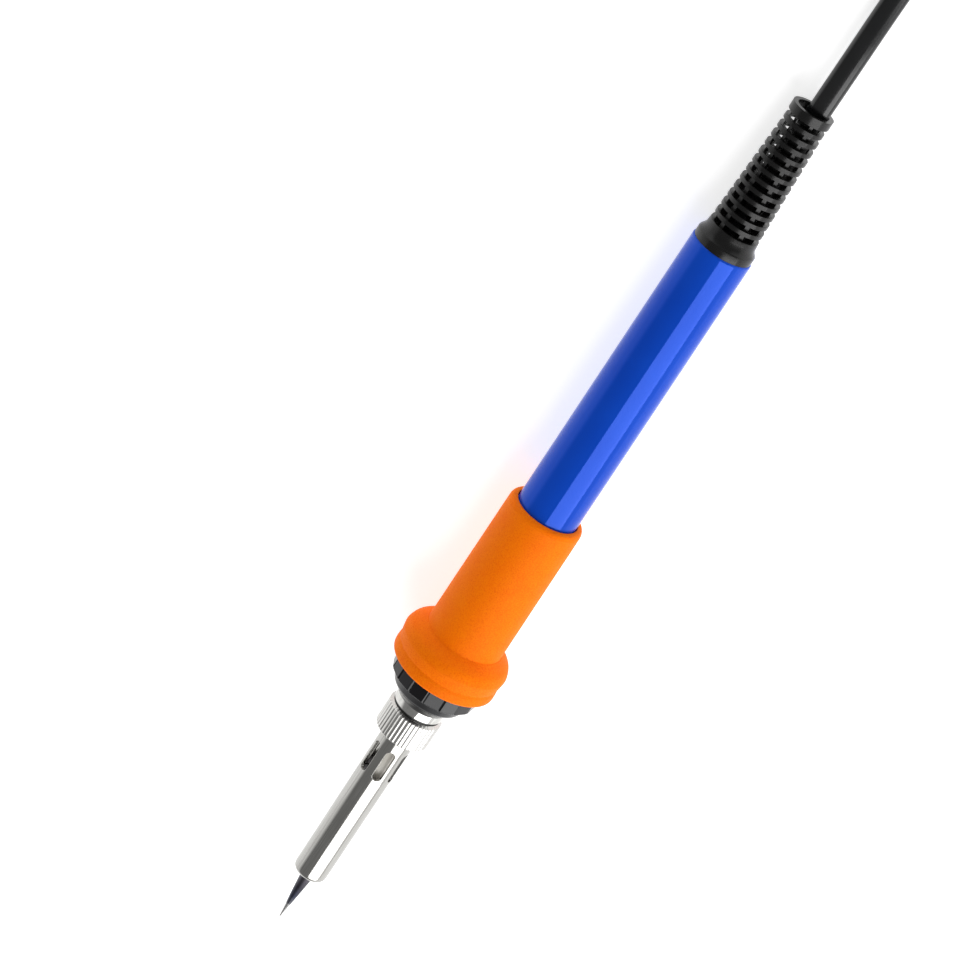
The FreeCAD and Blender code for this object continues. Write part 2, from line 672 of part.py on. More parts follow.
def make_cord_end():
    """The last near fold, which climbs off the hank, and the climb to the plug."""
    corner = HANK_FOLD_R / math.cos(math.radians(22.5))
    points = [Vector(NEAR_X - HANK_FOLD_R * 0.45, HANK_SIDE - HANK_FOLD_R, LAST_TURN_Z)]
    for index, rise in enumerate(FOLD_RISE):
        angle = math.radians(-67.5 + 45 * index)
        points.append(
            Vector(
                NEAR_X + corner * math.cos(angle), HANK_SIDE + corner * math.sin(angle),
                LAST_TURN_Z + TURN_PITCH * rise,
            )
        )
    points += [Vector(NEAR_X + back, HANK_SIDE + y, HANK_TOP + up) for back, y, up in CLIMB]
    points.append(Vector(TAIL_X, HANK_SIDE, PLUG_Z))
    return tube_along("cord_end", points, CORD_THICKNESS / 2)


def racetrack(r, height, z):
    """Solid between the hank's two fold centres, as wide as a fold of radius r."""
    run = Part.makeBox(HANK_RUN, 2 * r, height, Vector(FAR_X, HANK_SIDE - r, z))
    ends = [Part.makeCylinder(r, height, Vector(x, HANK_SIDE, z)) for x in (NEAR_X, FAR_X)]
    return run.fuse(ends).removeSplitter()


def make_cord_hank():
    outer = racetrack(HANK_FOLD_R + CORD_WIDTH / 2, HANK_HEIGHT, HANK_BOTTOM)
    inner = racetrack(HANK_FOLD_R - CORD_WIDTH / 2, HANK_HEIGHT, HANK_BOTTOM)
    return outer.cut(inner)


def make_hank_ties():
    ties = []
    for share, side in TIE_PLACES:
        x = NEAR_X - HANK_RUN * share
        y = HANK_SIDE + side * HANK_FOLD_R
        outer = Part.makeBox(
            TIE_WIDTH, CORD_WIDTH + 2 * TIE_THICKNESS, HANK_HEIGHT + 2 * TIE_THICKNESS,
            Vector(x, y - CORD_WIDTH / 2 - TIE_THICKNESS, HANK_BOTTOM - TIE_THICKNESS),
        )
        inner = Part.makeBox(
            TIE_WIDTH, CORD_WIDTH, HANK_HEIGHT, Vector(x, y - CORD_WIDTH / 2, HANK_BOTTOM)
        )
        tail = Part.makeCylinder(
            TIE_TAIL_R, TIE_TAIL,
            Vector(
                x + TIE_WIDTH / 2, y + side * (CORD_WIDTH + TIE_THICKNESS) / 2,
                HANK_BOTTOM + HANK_HEIGHT / 2,
            ),
            Vector(0.75, side * 0.1, 0.65),
        )
        ties.append(outer.fuse(tail).cut(inner))
    return ties


def make_plug_tail():
    wide = oval_wire(PLUG_TAIL_WIDTH, PLUG_TAIL_THICKNESS, PLUG_REAR_X, HANK_SIDE, PLUG_Z)
    narrow = oval_wire(
        PLUG_TAIL_END_WIDTH, PLUG_TAIL_END_THICKNESS, TAIL_X, HANK_SIDE, PLUG_Z
    )
    return Part.makeLoft([narrow, wide], True, True)


def pin_frame(side):
    """Where a pin leaves the plug's face, and the way it points."""
    root = Vector(PLUG_FACE_X, HANK_SIDE + side * PIN_SPACING / 2, PLUG_Z)
    inward = (PIN_SPACING - PIN_TIP_SPACING) / 2
    direction = Vector(-PIN_LENGTH, -side * inward, 0)
    return root, direction.normalize()


def pin_shank(side):
    root, direction = pin_frame(side)
    return Part.makeCylinder(
        PIN_SHANK_R, PIN_EMBEDDED + PIN_SLEEVE_LENGTH, root - direction * PIN_EMBEDDED, direction
    )


def make_plug_pin(side):
    root, direction = pin_frame(side)
    start = root + direction * PIN_SLEEVE_LENGTH
    bare = Part.makeCylinder(PIN_R, PIN_LENGTH - PIN_SLEEVE_LENGTH - PIN_R, start, direction)
    nose = Part.makeSphere(PIN_R, start + direction * (PIN_LENGTH - PIN_SLEEVE_LENGTH - PIN_R))
    return pin_shank(side).fuse([bare, nose]).removeSplitter()


def make_pin_sleeve(side):
    root, direction = pin_frame(side)
    sleeve = Part.makeCylinder(PIN_SLEEVE_R, PIN_SLEEVE_LENGTH, root, direction)
    beyond_face = Part.makeBox(
        PIN_LENGTH, PLUG_WIDTH, PLUG_THICKNESS,
        Vector(PLUG_FACE_X - PIN_LENGTH, HANK_SIDE - PLUG_WIDTH / 2, PLUG_Z - PLUG_THICKNESS / 2),
    )
    return sleeve.common(beyond_face).cut(pin_shank(side))


def make_plug_body():
    shoulder_x = PLUG_FACE_X + PLUG_FULL_LENGTH
    full = oval_wire(PLUG_WIDTH, PLUG_THICKNESS, PLUG_FACE_X, HANK_SIDE, PLUG_Z)
    shoulder = oval_wire(PLUG_WIDTH, PLUG_THICKNESS, shoulder_x, HANK_SIDE, PLUG_Z)
    rear = oval_wire(PLUG_REAR_WIDTH, PLUG_REAR_THICKNESS, PLUG_REAR_X, HANK_SIDE, PLUG_Z)
    front_part = Part.makeLoft([full, shoulder], True, True)
    rear_part = Part.makeLoft([shoulder, rear], True, True)
    return front_part.fuse(rear_part).cut([pin_shank(1), pin_shank(-1)])


# ---- export --------------------------------------------------------------------------------

def iron_nodes():
    """Nodes built in the iron's own frame."""
    return {
        "tip": make_tip(),
        "tip_barrel": make_tip_barrel(),
        "barrel_nut": make_barrel_nut(),
        "thread_sleeve": make_thread_sleeve(),
        "front_collar": make_front_collar(),
        "grip_sleeve": make_grip_sleeve(),
        "handle_tube": make_handle_tube(),
        "heater_rod": make_heater_rod(),
        "insulator_bush": make_insulator_bush(),
        "heater_lead_left": make_lead(1),
        "heater_lead_right": make_lead(-1),
        "lead_sleeve_left": make_lead_sleeve(1),
        "lead_sleeve_right": make_lead_sleeve(-1),
        "terminal_board": make_terminal_board(),
        "terminal_left": make_terminal(1),
        "terminal_right": make_terminal(-1),
        "terminal_rivets": Part.makeCompound(make_terminal_rivets()),
        "core_brown": make_core(1),
        "core_blue": make_core(-1),
        "core_strands": Part.makeCompound(make_core_strands()),
        "inner_cord": make_inner_cord(),
        "cord_ferrule": make_cord_ferrule(),
        "strain_relief": make_strain_relief(),
    }


def cord_nodes():
    """Nodes built where they lie."""
    return {
        "cord": make_cord(),
        "cord_hank": make_cord_hank(),
        "hank_ties": Part.makeCompound(make_hank_ties()),
        "cord_end": make_cord_end(),
        "plug_tail": make_plug_tail(),
        "plug_body": make_plug_body(),
        "plug_pin_left": make_plug_pin(1),
        "plug_pin_right": make_plug_pin(-1),
        "pin_sleeve_left": make_pin_sleeve(1),
        "pin_sleeve_right": make_pin_sleeve(-1),
    }


os.makedirs("parts", exist_ok=True)
nodes = {name: lay_down(shape) for name, shape in iron_nodes().items()}
nodes.update(cord_nodes())
for name, shape in nodes.items():
    shape.exportStep(f"parts/{name}.step")

axis = placed(1) - placed(0)
print("axis", [round(v, 6) for v in axis], "rest angle", round(math.degrees(REST_ANGLE), 3))
print("middle of the nut", [round(v, 3) for v in placed((NUT_REAR + NUT_FRONT) / 2)])
print("mouth of the relief", [round(v, 3) for v in MOUTH], "near folds at", round(NEAR_X, 3))
print("plug's face", round(PLUG_FACE_X, 3), HANK_SIDE, round(PLUG_Z, 3))
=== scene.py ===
import json
import math

import bmesh
import bpy
from mathutils import Matrix, Vector


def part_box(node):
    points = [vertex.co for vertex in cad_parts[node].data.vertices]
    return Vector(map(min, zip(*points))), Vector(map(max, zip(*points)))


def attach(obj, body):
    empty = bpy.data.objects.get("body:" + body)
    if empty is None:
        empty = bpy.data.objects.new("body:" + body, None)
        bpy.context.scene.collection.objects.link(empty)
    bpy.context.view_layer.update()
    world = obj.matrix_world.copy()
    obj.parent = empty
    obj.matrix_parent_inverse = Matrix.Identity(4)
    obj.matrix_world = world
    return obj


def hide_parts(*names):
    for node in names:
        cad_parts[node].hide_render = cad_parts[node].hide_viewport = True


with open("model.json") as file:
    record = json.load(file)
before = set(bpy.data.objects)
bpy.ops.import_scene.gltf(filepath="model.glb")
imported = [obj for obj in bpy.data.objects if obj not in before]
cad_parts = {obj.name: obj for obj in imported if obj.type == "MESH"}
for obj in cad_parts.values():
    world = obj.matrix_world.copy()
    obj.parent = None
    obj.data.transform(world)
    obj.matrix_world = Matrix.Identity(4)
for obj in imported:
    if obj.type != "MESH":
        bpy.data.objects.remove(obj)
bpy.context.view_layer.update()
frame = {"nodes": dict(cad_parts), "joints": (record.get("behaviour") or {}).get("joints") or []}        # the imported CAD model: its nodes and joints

MM = 0.001

# ---- the iron's own frame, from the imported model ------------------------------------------
NUT_JOINT = next(joint for joint in frame["joints"] if joint["name"] == "nut_turn")
PIVOT = Vector(NUT_JOINT["pos_m"])
ALONG = Vector(NUT_JOINT["axis"]).normalized()
ACROSS = Vector((0, 1, 0))
ABOVE = ALONG.cross(ACROSS)


def reaches(node, start):
    """Lowest and highest distance of a CAD node's vertices from a point, along the iron."""
    along = [(vertex.co - start).dot(ALONG) for vertex in frame["nodes"][node].data.vertices]
    return min(along), max(along)


ORIGIN = PIVOT + ALONG * reaches("handle_tube", PIVOT)[0]
IRON = Matrix.Translation(ORIGIN) @ Matrix((ALONG, ACROSS, ABOVE)).transposed().to_4x4()


def span(node):
    """First and last station of a CAD node along the iron."""
    return reaches(node, ORIGIN)


def girth(node):
    """Largest radius of a CAD node about the iron's axis."""
    return max(
        ((vertex.co - ORIGIN) - ALONG * (vertex.co - ORIGIN).dot(ALONG)).length
        for vertex in frame["nodes"][node].data.vertices
    )


# ---- mesh helpers --------------------------------------------------------------------------
SHARP_ANGLE = math.radians(38)
TURNED_STEPS = 144             # columns of a turned piece
SAME_PLACE = 1e-7


def new_piece(name, vertices, faces, material, body, slot, replaced=(), place=IRON):
    """A closed mesh piece that rides on a body and stands for CAD nodes."""
    mesh = bpy.data.meshes.new(name)
    mesh.from_pydata([place @ Vector(vertex) for vertex in vertices], [], faces)
    shape = bmesh.new()
    shape.from_mesh(mesh)
    bmesh.ops.remove_doubles(shape, verts=shape.verts, dist=SAME_PLACE)
    bmesh.ops.recalc_face_normals(shape, faces=shape.faces)
    shape.to_mesh(mesh)
    shape.free()
    mesh.shade_smooth()
    mesh.set_sharp_from_angle(angle=SHARP_ANGLE)
    mesh.materials.append(material)
    piece = bpy.data.objects.new(name, mesh)
    bpy.context.scene.collection.objects.link(piece)
    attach(piece, body)
    if replaced:
        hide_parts(*replaced)
    return piece


def soften(piece, width, steps=3):
    """Rounds a piece's sharp edges and keeps its flat faces flat in shading."""
    bevel = piece.modifiers.new("rounded_edges", "BEVEL")
    bevel.width = width
    bevel.segments = steps
    bevel.limit_method = "ANGLE"
    bevel.angle_limit = SHARP_ANGLE
    even_shading(piece)
    return piece


def even_shading(piece):
    """Shading that follows the larger faces, so that flats next to a rounding look flat."""
    weighted = piece.modifiers.new("even_shading", "WEIGHTED_NORMAL")
    weighted.keep_sharp = True
    return piece


def rounded(outline, steps=5):
    """Outline of (x, r, edge) with each corner rounded to its edge radius, as (x, r) points."""
    points = []
    for index, (x, r, edge) in enumerate(outline):
        corner = Vector((x, r))
        if edge == 0:
            points.append(corner)
            continue
        back = Vector(outline[index - 1][:2]) - corner
        ahead = Vector(outline[(index + 1) % len(outline)][:2]) - corner
        half = back.angle(ahead) / 2
        back.normalize()
        ahead.normalize()
        centre = corner + (back + ahead).normalized() * (edge / math.sin(half))
        start = corner + back * (edge / math.tan(half)) - centre
        end = corner + ahead * (edge / math.tan(half)) - centre
        for step in range(steps + 1):
            share = step / steps
            points.append(centre + start.lerp(end, share).normalized() * edge)
    return points


def around(x, r, angle):
    """Point at a station, radius and angle about the iron's axis."""
    return x, r * math.sin(angle), r * math.cos(angle)


def ring_faces(low, high, size):
    """Faces between two rings of vertices that start at these numbers."""
    faces = []
    for step in range(size):
        after = (step + 1) % size
        faces.append((low + step, low + after, high + after, high + step))
    return faces


def turned_mesh(points, radius_at=None, steps=TURNED_STEPS, closed=True, first_angle=0):
    """Vertices and faces of an outline turned about the iron's axis.

    radius_at(x, r, angle) may change a point's radius with the angle.
    """
    vertices = []
    for x, r in points:
        for step in range(steps):
            angle = first_angle + 2 * math.pi * step / steps
            here = radius_at(x, r, angle) if radius_at else r
            vertices.append(around(x, here, angle))
    faces = []
    rows = len(points) if closed else len(points) - 1
    for row in range(rows):
        faces += ring_faces(row * steps, (row + 1) % len(points) * steps, steps)
    return vertices, faces


def skinned(rings):
    """A skin over rings of equally many points, with closed ends."""
    size = len(rings[0])
    vertices = [point for ring in rings for point in ring]
    faces = []
    for index in range(len(rings) - 1):
        faces += ring_faces(index * size, (index + 1) * size, size)
    faces.append(tuple(range(size)))
    faces.append(tuple(range(len(vertices) - size, len(vertices))))
    return vertices, faces


def joined(meshes):
    """Several (vertices, faces) as one."""
    vertices = []
    faces = []
    for more_vertices, more_faces in meshes:
        offset = len(vertices)
        vertices += more_vertices
        faces += [tuple(index + offset for index in face) for face in more_faces]
    return vertices, faces


# ---- material helpers ----------------------------------------------------------------------

def colour(red, green, blue):
    """Linear colour of sRGB values from 0 to 255."""
    def linear(value):
        share = value / 255
        return share / 12.92 if share <= 0.04045 else ((share + 0.055) / 1.055) ** 2.4
    return linear(red), linear(green), linear(blue), 1.0


class Look:
    """A procedural material around one Principled shader."""

    def __init__(self, name, **settings):
        self.material = bpy.data.materials.new(name)
        self.material.use_nodes = True
        self.tree = self.material.node_tree
        self.shader = self.tree.nodes["Principled BSDF"]
        for setting, value in settings.items():
            socket = setting.replace("_", " ").title().replace("Ior", "IOR")
            self.shader.inputs[socket].default_value = value

    def node(self, kind, **settings):
        made = self.tree.nodes.new(kind)
        for setting, value in settings.items():
            setattr(made, setting, value)
        return made

    def link(self, output, target):
        self.tree.links.new(output, target)

    def place(self, stretch=(1, 1, 1)):
        """Coordinates in the iron's own axes, in metres from the frame's origin, stretched."""
        source = self.node("ShaderNodeTexCoord")
        mapping = self.node("ShaderNodeMapping")
        # The iron slopes about the Y axis, and this turn makes it level.
        mapping.inputs["Rotation"].default_value = (0, math.atan2(ALONG.z, ALONG.x), 0)
        scale = self.node("ShaderNodeVectorMath", operation="MULTIPLY")
        scale.inputs[1].default_value = stretch
        self.link(source.outputs["Object"], mapping.inputs["Vector"])
        self.link(mapping.outputs["Vector"], scale.inputs[0])
        return scale.outputs["Vector"]

    def noise(self, size, detail=3.0, stretch=(1, 1, 1), roughness=0.5):
        """Noise from 0 to 1 with features of about that size in metres."""
        texture = self.node("ShaderNodeTexNoise")
        texture.inputs["Scale"].default_value = 1 / size
        texture.inputs["Detail"].default_value = detail
        texture.inputs["Roughness"].default_value = roughness
        self.link(self.place(stretch), texture.inputs["Vector"])
        return texture.outputs["Fac"]

    def ramp(self, factor, stops):
        """Colours or greys by factor, from (place, colour) stops."""
        made = self.node("ShaderNodeValToRGB")
        elements = made.color_ramp.elements
        while len(elements) < len(stops):
            elements.new(0.5)
        for element, (place, value) in zip(elements, stops):
            element.position = place
            element.color = value if isinstance(value, tuple) else (value, value, value, 1)
        self.link(factor, made.inputs["Fac"])
        return made.outputs["Color"]

    def spread(self, factor, low, high):
        """Most of a noise's values, from one colour or grey to another."""
        return self.ramp(factor, [(0.3, low), (0.7, high)])

    def into(self, socket, output):
        self.link(output, self.shader.inputs[socket])
        return self

    def bump(self, *heights):
        """Bumps from (height, strength, depth in metres), one on another."""
        below = None
        for height, strength, depth in heights:
            made = self.node("ShaderNodeBump")
            made.inputs["Strength"].default_value = strength
            made.inputs["Distance"].default_value = depth
            self.link(height, made.inputs["Height"])
            if below is not None:
                self.link(below, made.inputs["Normal"])
            below = made.outputs["Normal"]
        return self.into("Normal", below)


def plain_finish(name, dark, light, roughness, grain, depth, **settings):
    """Material whose colour and roughness vary a little with fine grain."""
    look = Look(name, **settings)
    fine = look.noise(grain)
    broad = look.noise(grain * 14, detail=2.0)
    look.into("Base Color", look.ramp(broad, [(0.35, dark), (0.65, light)]))
    look.into("Roughness", look.spread(fine, roughness * 0.85, roughness * 1.15))
    look.bump((fine, 0.5, depth))
    return look.material


# ---- materials -----------------------------------------------------------------------------

def blue_plastic():
    look = Look(
        "blue_plastic", metallic=0.13, specular_tint=(0.85, 0.95, 1.0, 1.0), ior=1.26,
        specular_ior_level=0.5,
    )
    broad = look.noise(14 * MM, detail=2.0)
    fine = look.noise(0.35 * MM)
    look.into("Base Color", look.spread(broad, colour(7, 67, 188), colour(11, 72, 194)))
    look.into("Roughness", look.spread(fine, 0.055, 0.085))
    look.bump((look.noise(3.5 * MM, detail=1.0), 0.12, 0.02 * MM), (fine, 0.1, 0.004 * MM))
    return look.material


def orange_rubber():
    look = Look("orange_rubber", ior=1.36, specular_ior_level=0.1)
    speck = look.noise(0.32 * MM, detail=4.0, roughness=0.65)
    patch = look.noise(5 * MM, detail=2.0)
    mixed = look.node("ShaderNodeMix", data_type="RGBA", blend_type="SOFT_LIGHT")
    mixed.inputs["Factor"].default_value = 0.55
    look.link(
        look.ramp(speck, [
            (0.30, colour(240, 103, 0)), (0.5, colour(251, 117, 0)), (0.72, colour(255, 133, 4)),
        ]),
        mixed.inputs["A"],
    )
    look.link(look.spread(patch, 0.44, 0.56), mixed.inputs["B"])
    look.into("Base Color", mixed.outputs["Result"])
    look.into("Roughness", look.spread(speck, 0.66, 0.48))
    look.bump((speck, 0.55, 0.05 * MM), (look.noise(1.3 * MM, detail=2.0), 0.2, 0.06 * MM))
    return look.material


def black_plastic():
    look = Look("black_plastic", ior=1.36)
    fine = look.noise(0.4 * MM)
    look.into("Base Color", look.spread(look.noise(3 * MM), colour(9, 9, 11), colour(16, 16, 20)))
    look.into("Roughness", look.spread(fine, 0.07, 0.12))
    look.bump((fine, 0.15, 0.01 * MM))
    return look.material


def relief_rubber():
    look = Look("relief_rubber", ior=1.4)
    fine = look.noise(0.3 * MM, detail=4.0)
    look.into("Base Color", look.spread(look.noise(2.2 * MM), colour(7, 7, 7), colour(13, 12, 12)))
    look.into("Roughness", look.spread(fine, 0.22, 0.32))
    look.bump((fine, 0.25, 0.02 * MM))
    return look.material


def cord_jacket():
    look = Look("cord_jacket", ior=1.5)
    fine = look.noise(0.25 * MM, detail=3.0)
    wavy = look.noise(6 * MM, detail=2.0)
    look.into("Base Color", look.spread(wavy, colour(13, 14, 15), colour(19, 20, 21)))
    look.into("Roughness", look.spread(fine, 0.15, 0.22))
    look.bump((fine, 0.2, 0.015 * MM), (wavy, 0.25, 0.08 * MM))
    return look.material


def steel(name, dark, light, roughness, streak, depth):
    """Steel with fine streaks along the iron."""
    look = Look(name, metallic=1.0)
    lines = look.noise(streak, detail=4.0, stretch=(0.03, 1, 1), roughness=0.6)
    cloud = look.noise(4 * MM, detail=3.0)
    look.into("Base Color", look.spread(lines, dark, light))
    look.into("Roughness", look.spread(cloud, roughness * 0.75, roughness * 1.3))
    look.bump((lines, 0.3, depth))
    return look.material


def ringed_steel(name, dark, light, roughness, pitch, depth):
    """Steel with fine turning marks round the iron."""
    look = Look(name, metallic=1.0)
    marks = look.noise(pitch, detail=3.0, stretch=(1, 0.03, 0.03))
    look.into("Base Color", look.spread(look.noise(1.5 * MM), dark, light))
    look.into("Roughness", look.spread(marks, roughness * 0.8, roughness * 1.25))
    look.bump((marks, 0.25, depth))
    return look.material


TIP_BAND_RAGGED = 1.6 * MM       # how far the edges of the tip's colour bands, the painted bluish reflection among them, wander along the tip


def tip_metal():
    """Dark oxidised iron plating with a painted bluish reflection in a band along it, bright where it
    has been wiped.
    """
    look = Look("tip_metal", metallic=1.0)
    barrel_front = span("tip_barrel")[1]
    length = span("tip")[1] - barrel_front
    start = ORIGIN.dot(ALONG) + barrel_front + TIP_BAND_RAGGED / 2
    split = look.node("ShaderNodeSeparateXYZ")
    look.link(look.place(), split.inputs["Vector"])
    ragged = look.node("ShaderNodeMath", operation="MULTIPLY_ADD")
    look.link(look.noise(1.2 * MM, detail=4.0), ragged.inputs[0])
    ragged.inputs[1].default_value = TIP_BAND_RAGGED
    look.link(split.outputs["X"], ragged.inputs[2])
    share = look.node("ShaderNodeMapRange")
    share.inputs["From Min"].default_value = start
    share.inputs["From Max"].default_value = start + length
    look.link(ragged.outputs["Value"], share.inputs["Value"])
    # the bluish stop at 0.52 is a painted reflection of blue
    look.into("Base Color", look.ramp(share.outputs["Result"], [
        (0.0, colour(112, 110, 114)), (0.10, colour(78, 76, 82)), (0.30, colour(56, 55, 62)),
        (0.52, colour(54, 57, 72)), (0.66, colour(92, 93, 98)), (0.72, colour(168, 168, 168)),
        (1.0, colour(196, 195, 192)),
    ]))
    look.into("Roughness", look.ramp(share.outputs["Result"], [
        (0.0, 0.30), (0.45, 0.42), (0.66, 0.34), (0.74, 0.2),
    ]))
    look.bump((look.noise(0.35 * MM, detail=4.0), 0.3, 0.02 * MM))
    return look.material


def woven_glass():
    """Braided sleeving: two crossed sets of bands."""
    look = Look("woven_glass", roughness=0.75)
    bands = []
    for lean in (1, -1):
        wave = look.node("ShaderNodeTexWave", wave_type="BANDS", bands_direction="DIAGONAL")
        wave.inputs["Scale"].default_value = 700
        look.link(look.place((1, lean, 1)), wave.inputs["Vector"])
        bands.append(wave.outputs["Fac"])
    crossed = look.node("ShaderNodeMath", operation="MAXIMUM")
    look.link(bands[0], crossed.inputs[0])
    look.link(bands[1], crossed.inputs[1])
    look.into("Base Color", look.ramp(crossed.outputs["Value"], [
        (0.2, colour(206, 198, 172)), (0.8, colour(240, 236, 222)),
    ]))
    look.bump((crossed.outputs["Value"], 0.7, 0.1 * MM))
    return look.material


def laminate():
    """Brown phenolic board with faint fibres."""
    look = Look("laminate", roughness=0.45)
    fibres = look.noise(0.6 * MM, detail=4.0, stretch=(0.1, 1, 1))
    look.into("Base Color", look.spread(fibres, colour(94, 54, 26), colour(136, 84, 44)))
    look.bump((fibres, 0.3, 0.02 * MM))
    return look.material


BLUE = blue_plastic()
ORANGE = orange_rubber()
BLACK = black_plastic()
RELIEF = relief_rubber()
JACKET = cord_jacket()
BARREL_STEEL = steel(
    "barrel_steel", colour(158, 157, 153), colour(176, 175, 172), 0.12, 0.25 * MM, 0.004 * MM
)
NUT_STEEL = steel(
    "nut_steel", colour(178, 177, 174), colour(204, 203, 200), 0.22, 0.3 * MM, 0.005 * MM
)
RING_STEEL = ringed_steel(
    "ring_steel", colour(188, 187, 183), colour(206, 205, 202), 0.09, 0.2 * MM, 0.002 * MM
)
# painted shade: black that stands for the shadowed gap between the polished ring and the nut
SHADE = plain_finish(
    "painted_shade_black", colour(14, 14, 13), colour(24, 24, 22), 0.4, 0.3 * MM, 0.01 * MM
)
TIP_METAL = tip_metal()
PLUG_VINYL = plain_finish(
    "plug_vinyl", colour(21, 21, 22), colour(31, 31, 32), 0.42, 0.3 * MM, 0.03 * MM
)
SLEEVE_PLASTIC = plain_finish(
    "sleeve_plastic", colour(16, 16, 17), colour(26, 26, 27), 0.3, 0.4 * MM, 0.01 * MM
)
PIN_METAL = ringed_steel(
    "pin_metal", colour(196, 190, 174), colour(222, 217, 203), 0.2, 0.15 * MM, 0.003 * MM
)
TIE_PLASTIC = plain_finish(
    "tie_plastic", colour(22, 22, 23), colour(36, 36, 37), 0.38, 0.5 * MM, 0.03 * MM
)
CERAMIC = plain_finish(
    "ceramic", colour(222, 217, 206), colour(240, 236, 228), 0.5, 0.3 * MM, 0.02 * MM
)
NICKEL = plain_finish(
    "nickel_wire", colour(186, 182, 172), colour(210, 206, 198), 0.28, 0.3 * MM, 0.01 * MM,
    metallic=1.0,
)
BRASS = plain_finish(
    "brass", colour(196, 160, 84), colour(220, 186, 110), 0.3, 0.3 * MM, 0.01 * MM, metallic=1.0
)
COPPER = plain_finish(
    "copper", colour(198, 120, 82), colour(220, 142, 100), 0.3, 0.15 * MM, 0.03 * MM, metallic=1.0
)
ALUMINIUM = plain_finish(
    "aluminium", colour(190, 190, 192), colour(212, 212, 214), 0.35, 0.4 * MM, 0.02 * MM,
    metallic=1.0,
)
BROWN_CORE = plain_finish(
    "brown_core", colour(86, 44, 20), colour(104, 56, 28), 0.42, 0.3 * MM, 0.01 * MM
)
BLUE_CORE = plain_finish(
    "blue_core", colour(24, 78, 158), colour(36, 94, 176), 0.42, 0.3 * MM, 0.01 * MM
)
GLASS_BRAID = woven_glass()
LAMINATE = laminate()


# ---- camera --------------------------------------------------------------------------------
CAMERA_TILT = math.radians(25.4)      # from straight down on the iron towards its tip
CAMERA_ROLL = math.radians(32.87)     # of the picture's right from across the iron
CAMERA_STATION = 71.7 * MM            # of the point looked at, along the iron
CAMERA_ASIDE = -15.26 * MM            # of that point across the iron
CAMERA_DISTANCE = 618.75 * MM
CAMERA_LENS = 111.3                   # focal length in millimetres
SENSOR_WIDTH = 36


def add_camera():
    ahead = ALONG * math.sin(CAMERA_TILT) - ABOVE * math.cos(CAMERA_TILT)
    down = ALONG * math.cos(CAMERA_TILT) + ABOVE * math.sin(CAMERA_TILT)
    right = ACROSS * math.cos(CAMERA_ROLL) - down * math.sin(CAMERA_ROLL)
    up = -down * math.cos(CAMERA_ROLL) - ACROSS * math.sin(CAMERA_ROLL)
    target = ORIGIN + ALONG * CAMERA_STATION + ACROSS * CAMERA_ASIDE
    data = bpy.data.cameras.new("camera")
    data.lens = CAMERA_LENS
    data.sensor_width = SENSOR_WIDTH
    camera = bpy.data.objects.new("camera", data)
    turn = Matrix((right, up, -ahead)).transposed().to_4x4()
    camera.matrix_world = Matrix.Translation(target - ahead * CAMERA_DISTANCE) @ turn
    bpy.context.scene.collection.objects.link(camera)
    bpy.context.scene.camera = camera


# ---- cord ----------------------------------------------------------------------------------
CORD_WIDTH = 4.8 * MM
CORD_THICKNESS = 3.1 * MM
CORD_SIDE = 1.0 * MM           # the cord lies this far to +Y in the relief's mouth
# From the mouth of the strain relief: back along X, across Y, and height above the surface.
LEAD_IN = [(-11.5, 1.1, 4.2), (-24.0, 1.2, 2.7), (-36.0, 1.5, 1.7), (-44.0, 1.9, 1.7)]
HANK_START = 51.7 * MM         # near folds' centre, behind the relief's mouth
HANK_RUN = 81.0 * MM
HANK_SIDE = -13.0 * MM
HANK_FOLD_R = 15.4 * MM
HANK_TURNS = 5
TURN_PITCH = 3.15 * MM
HANK_BOTTOM = 0.6 * MM
FOLD_ANGLES = (67.5, 22.5, -22.5, -67.5)
FOLD_RISE = (0.2, 0.6, 1.0, 1.0)    # of a turn's pitch, at the near fold's four points
FOLD_CORNER = HANK_FOLD_R / math.cos(math.radians(22.5))
RUN_INSET = HANK_FOLD_R * 0.45
# The climb on to the hank after the last near fold: back along X from the near folds' centre,
# across Y from the hank's middle, and height above the hank's top.
CLIMB = [(-11.0, 15.2, 2.1), (-20.0, 10.9, 3.7), (-30.0, 3.4, 5.9), (-39.0, 0.0, 6.9)]
CORD_STEPS = 6                 # rings of the tube for each point of the route
CORD_SIDE_STEPS = 7            # points round each rounded side of the section

MOUTH = ORIGIN + ALONG * span("strain_relief")[0] + ACROSS * CORD_SIDE
NEAR_X = MOUTH.x - HANK_START
FAR_X = NEAR_X - HANK_RUN
HANK_TOP = HANK_BOTTOM + HANK_TURNS * TURN_PITCH
PLUG_TAIL_LOW, PLUG_TAIL_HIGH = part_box("plug_tail")
PLUG_MIDDLE = (PLUG_TAIL_LOW + PLUG_TAIL_HIGH) / 2


def hank_points():
    """The hank's turns: out along +Y, round the far fold, back along -Y, and up the near fold."""
    points = []
    for turn in range(HANK_TURNS):
        z = HANK_BOTTOM + TURN_PITCH * (turn + 0.5)
        stations = (NEAR_X - RUN_INSET, (NEAR_X + FAR_X) / 2, FAR_X + RUN_INSET)
        points += [Vector((x, HANK_SIDE + HANK_FOLD_R, z)) for x in stations]
        for degrees in FOLD_ANGLES:
            angle = math.radians(degrees)
            points.append(Vector((
                FAR_X - FOLD_CORNER * math.cos(angle), HANK_SIDE + FOLD_CORNER * math.sin(angle), z
            )))
        points += [Vector((x, HANK_SIDE - HANK_FOLD_R, z)) for x in reversed(stations)]
        for degrees, rise in zip(reversed(FOLD_ANGLES), FOLD_RISE):
            angle = math.radians(degrees)
            points.append(Vector((
                NEAR_X + FOLD_CORNER * math.cos(angle), HANK_SIDE + FOLD_CORNER * math.sin(angle),
                z + TURN_PITCH * rise,
            )))
    return points


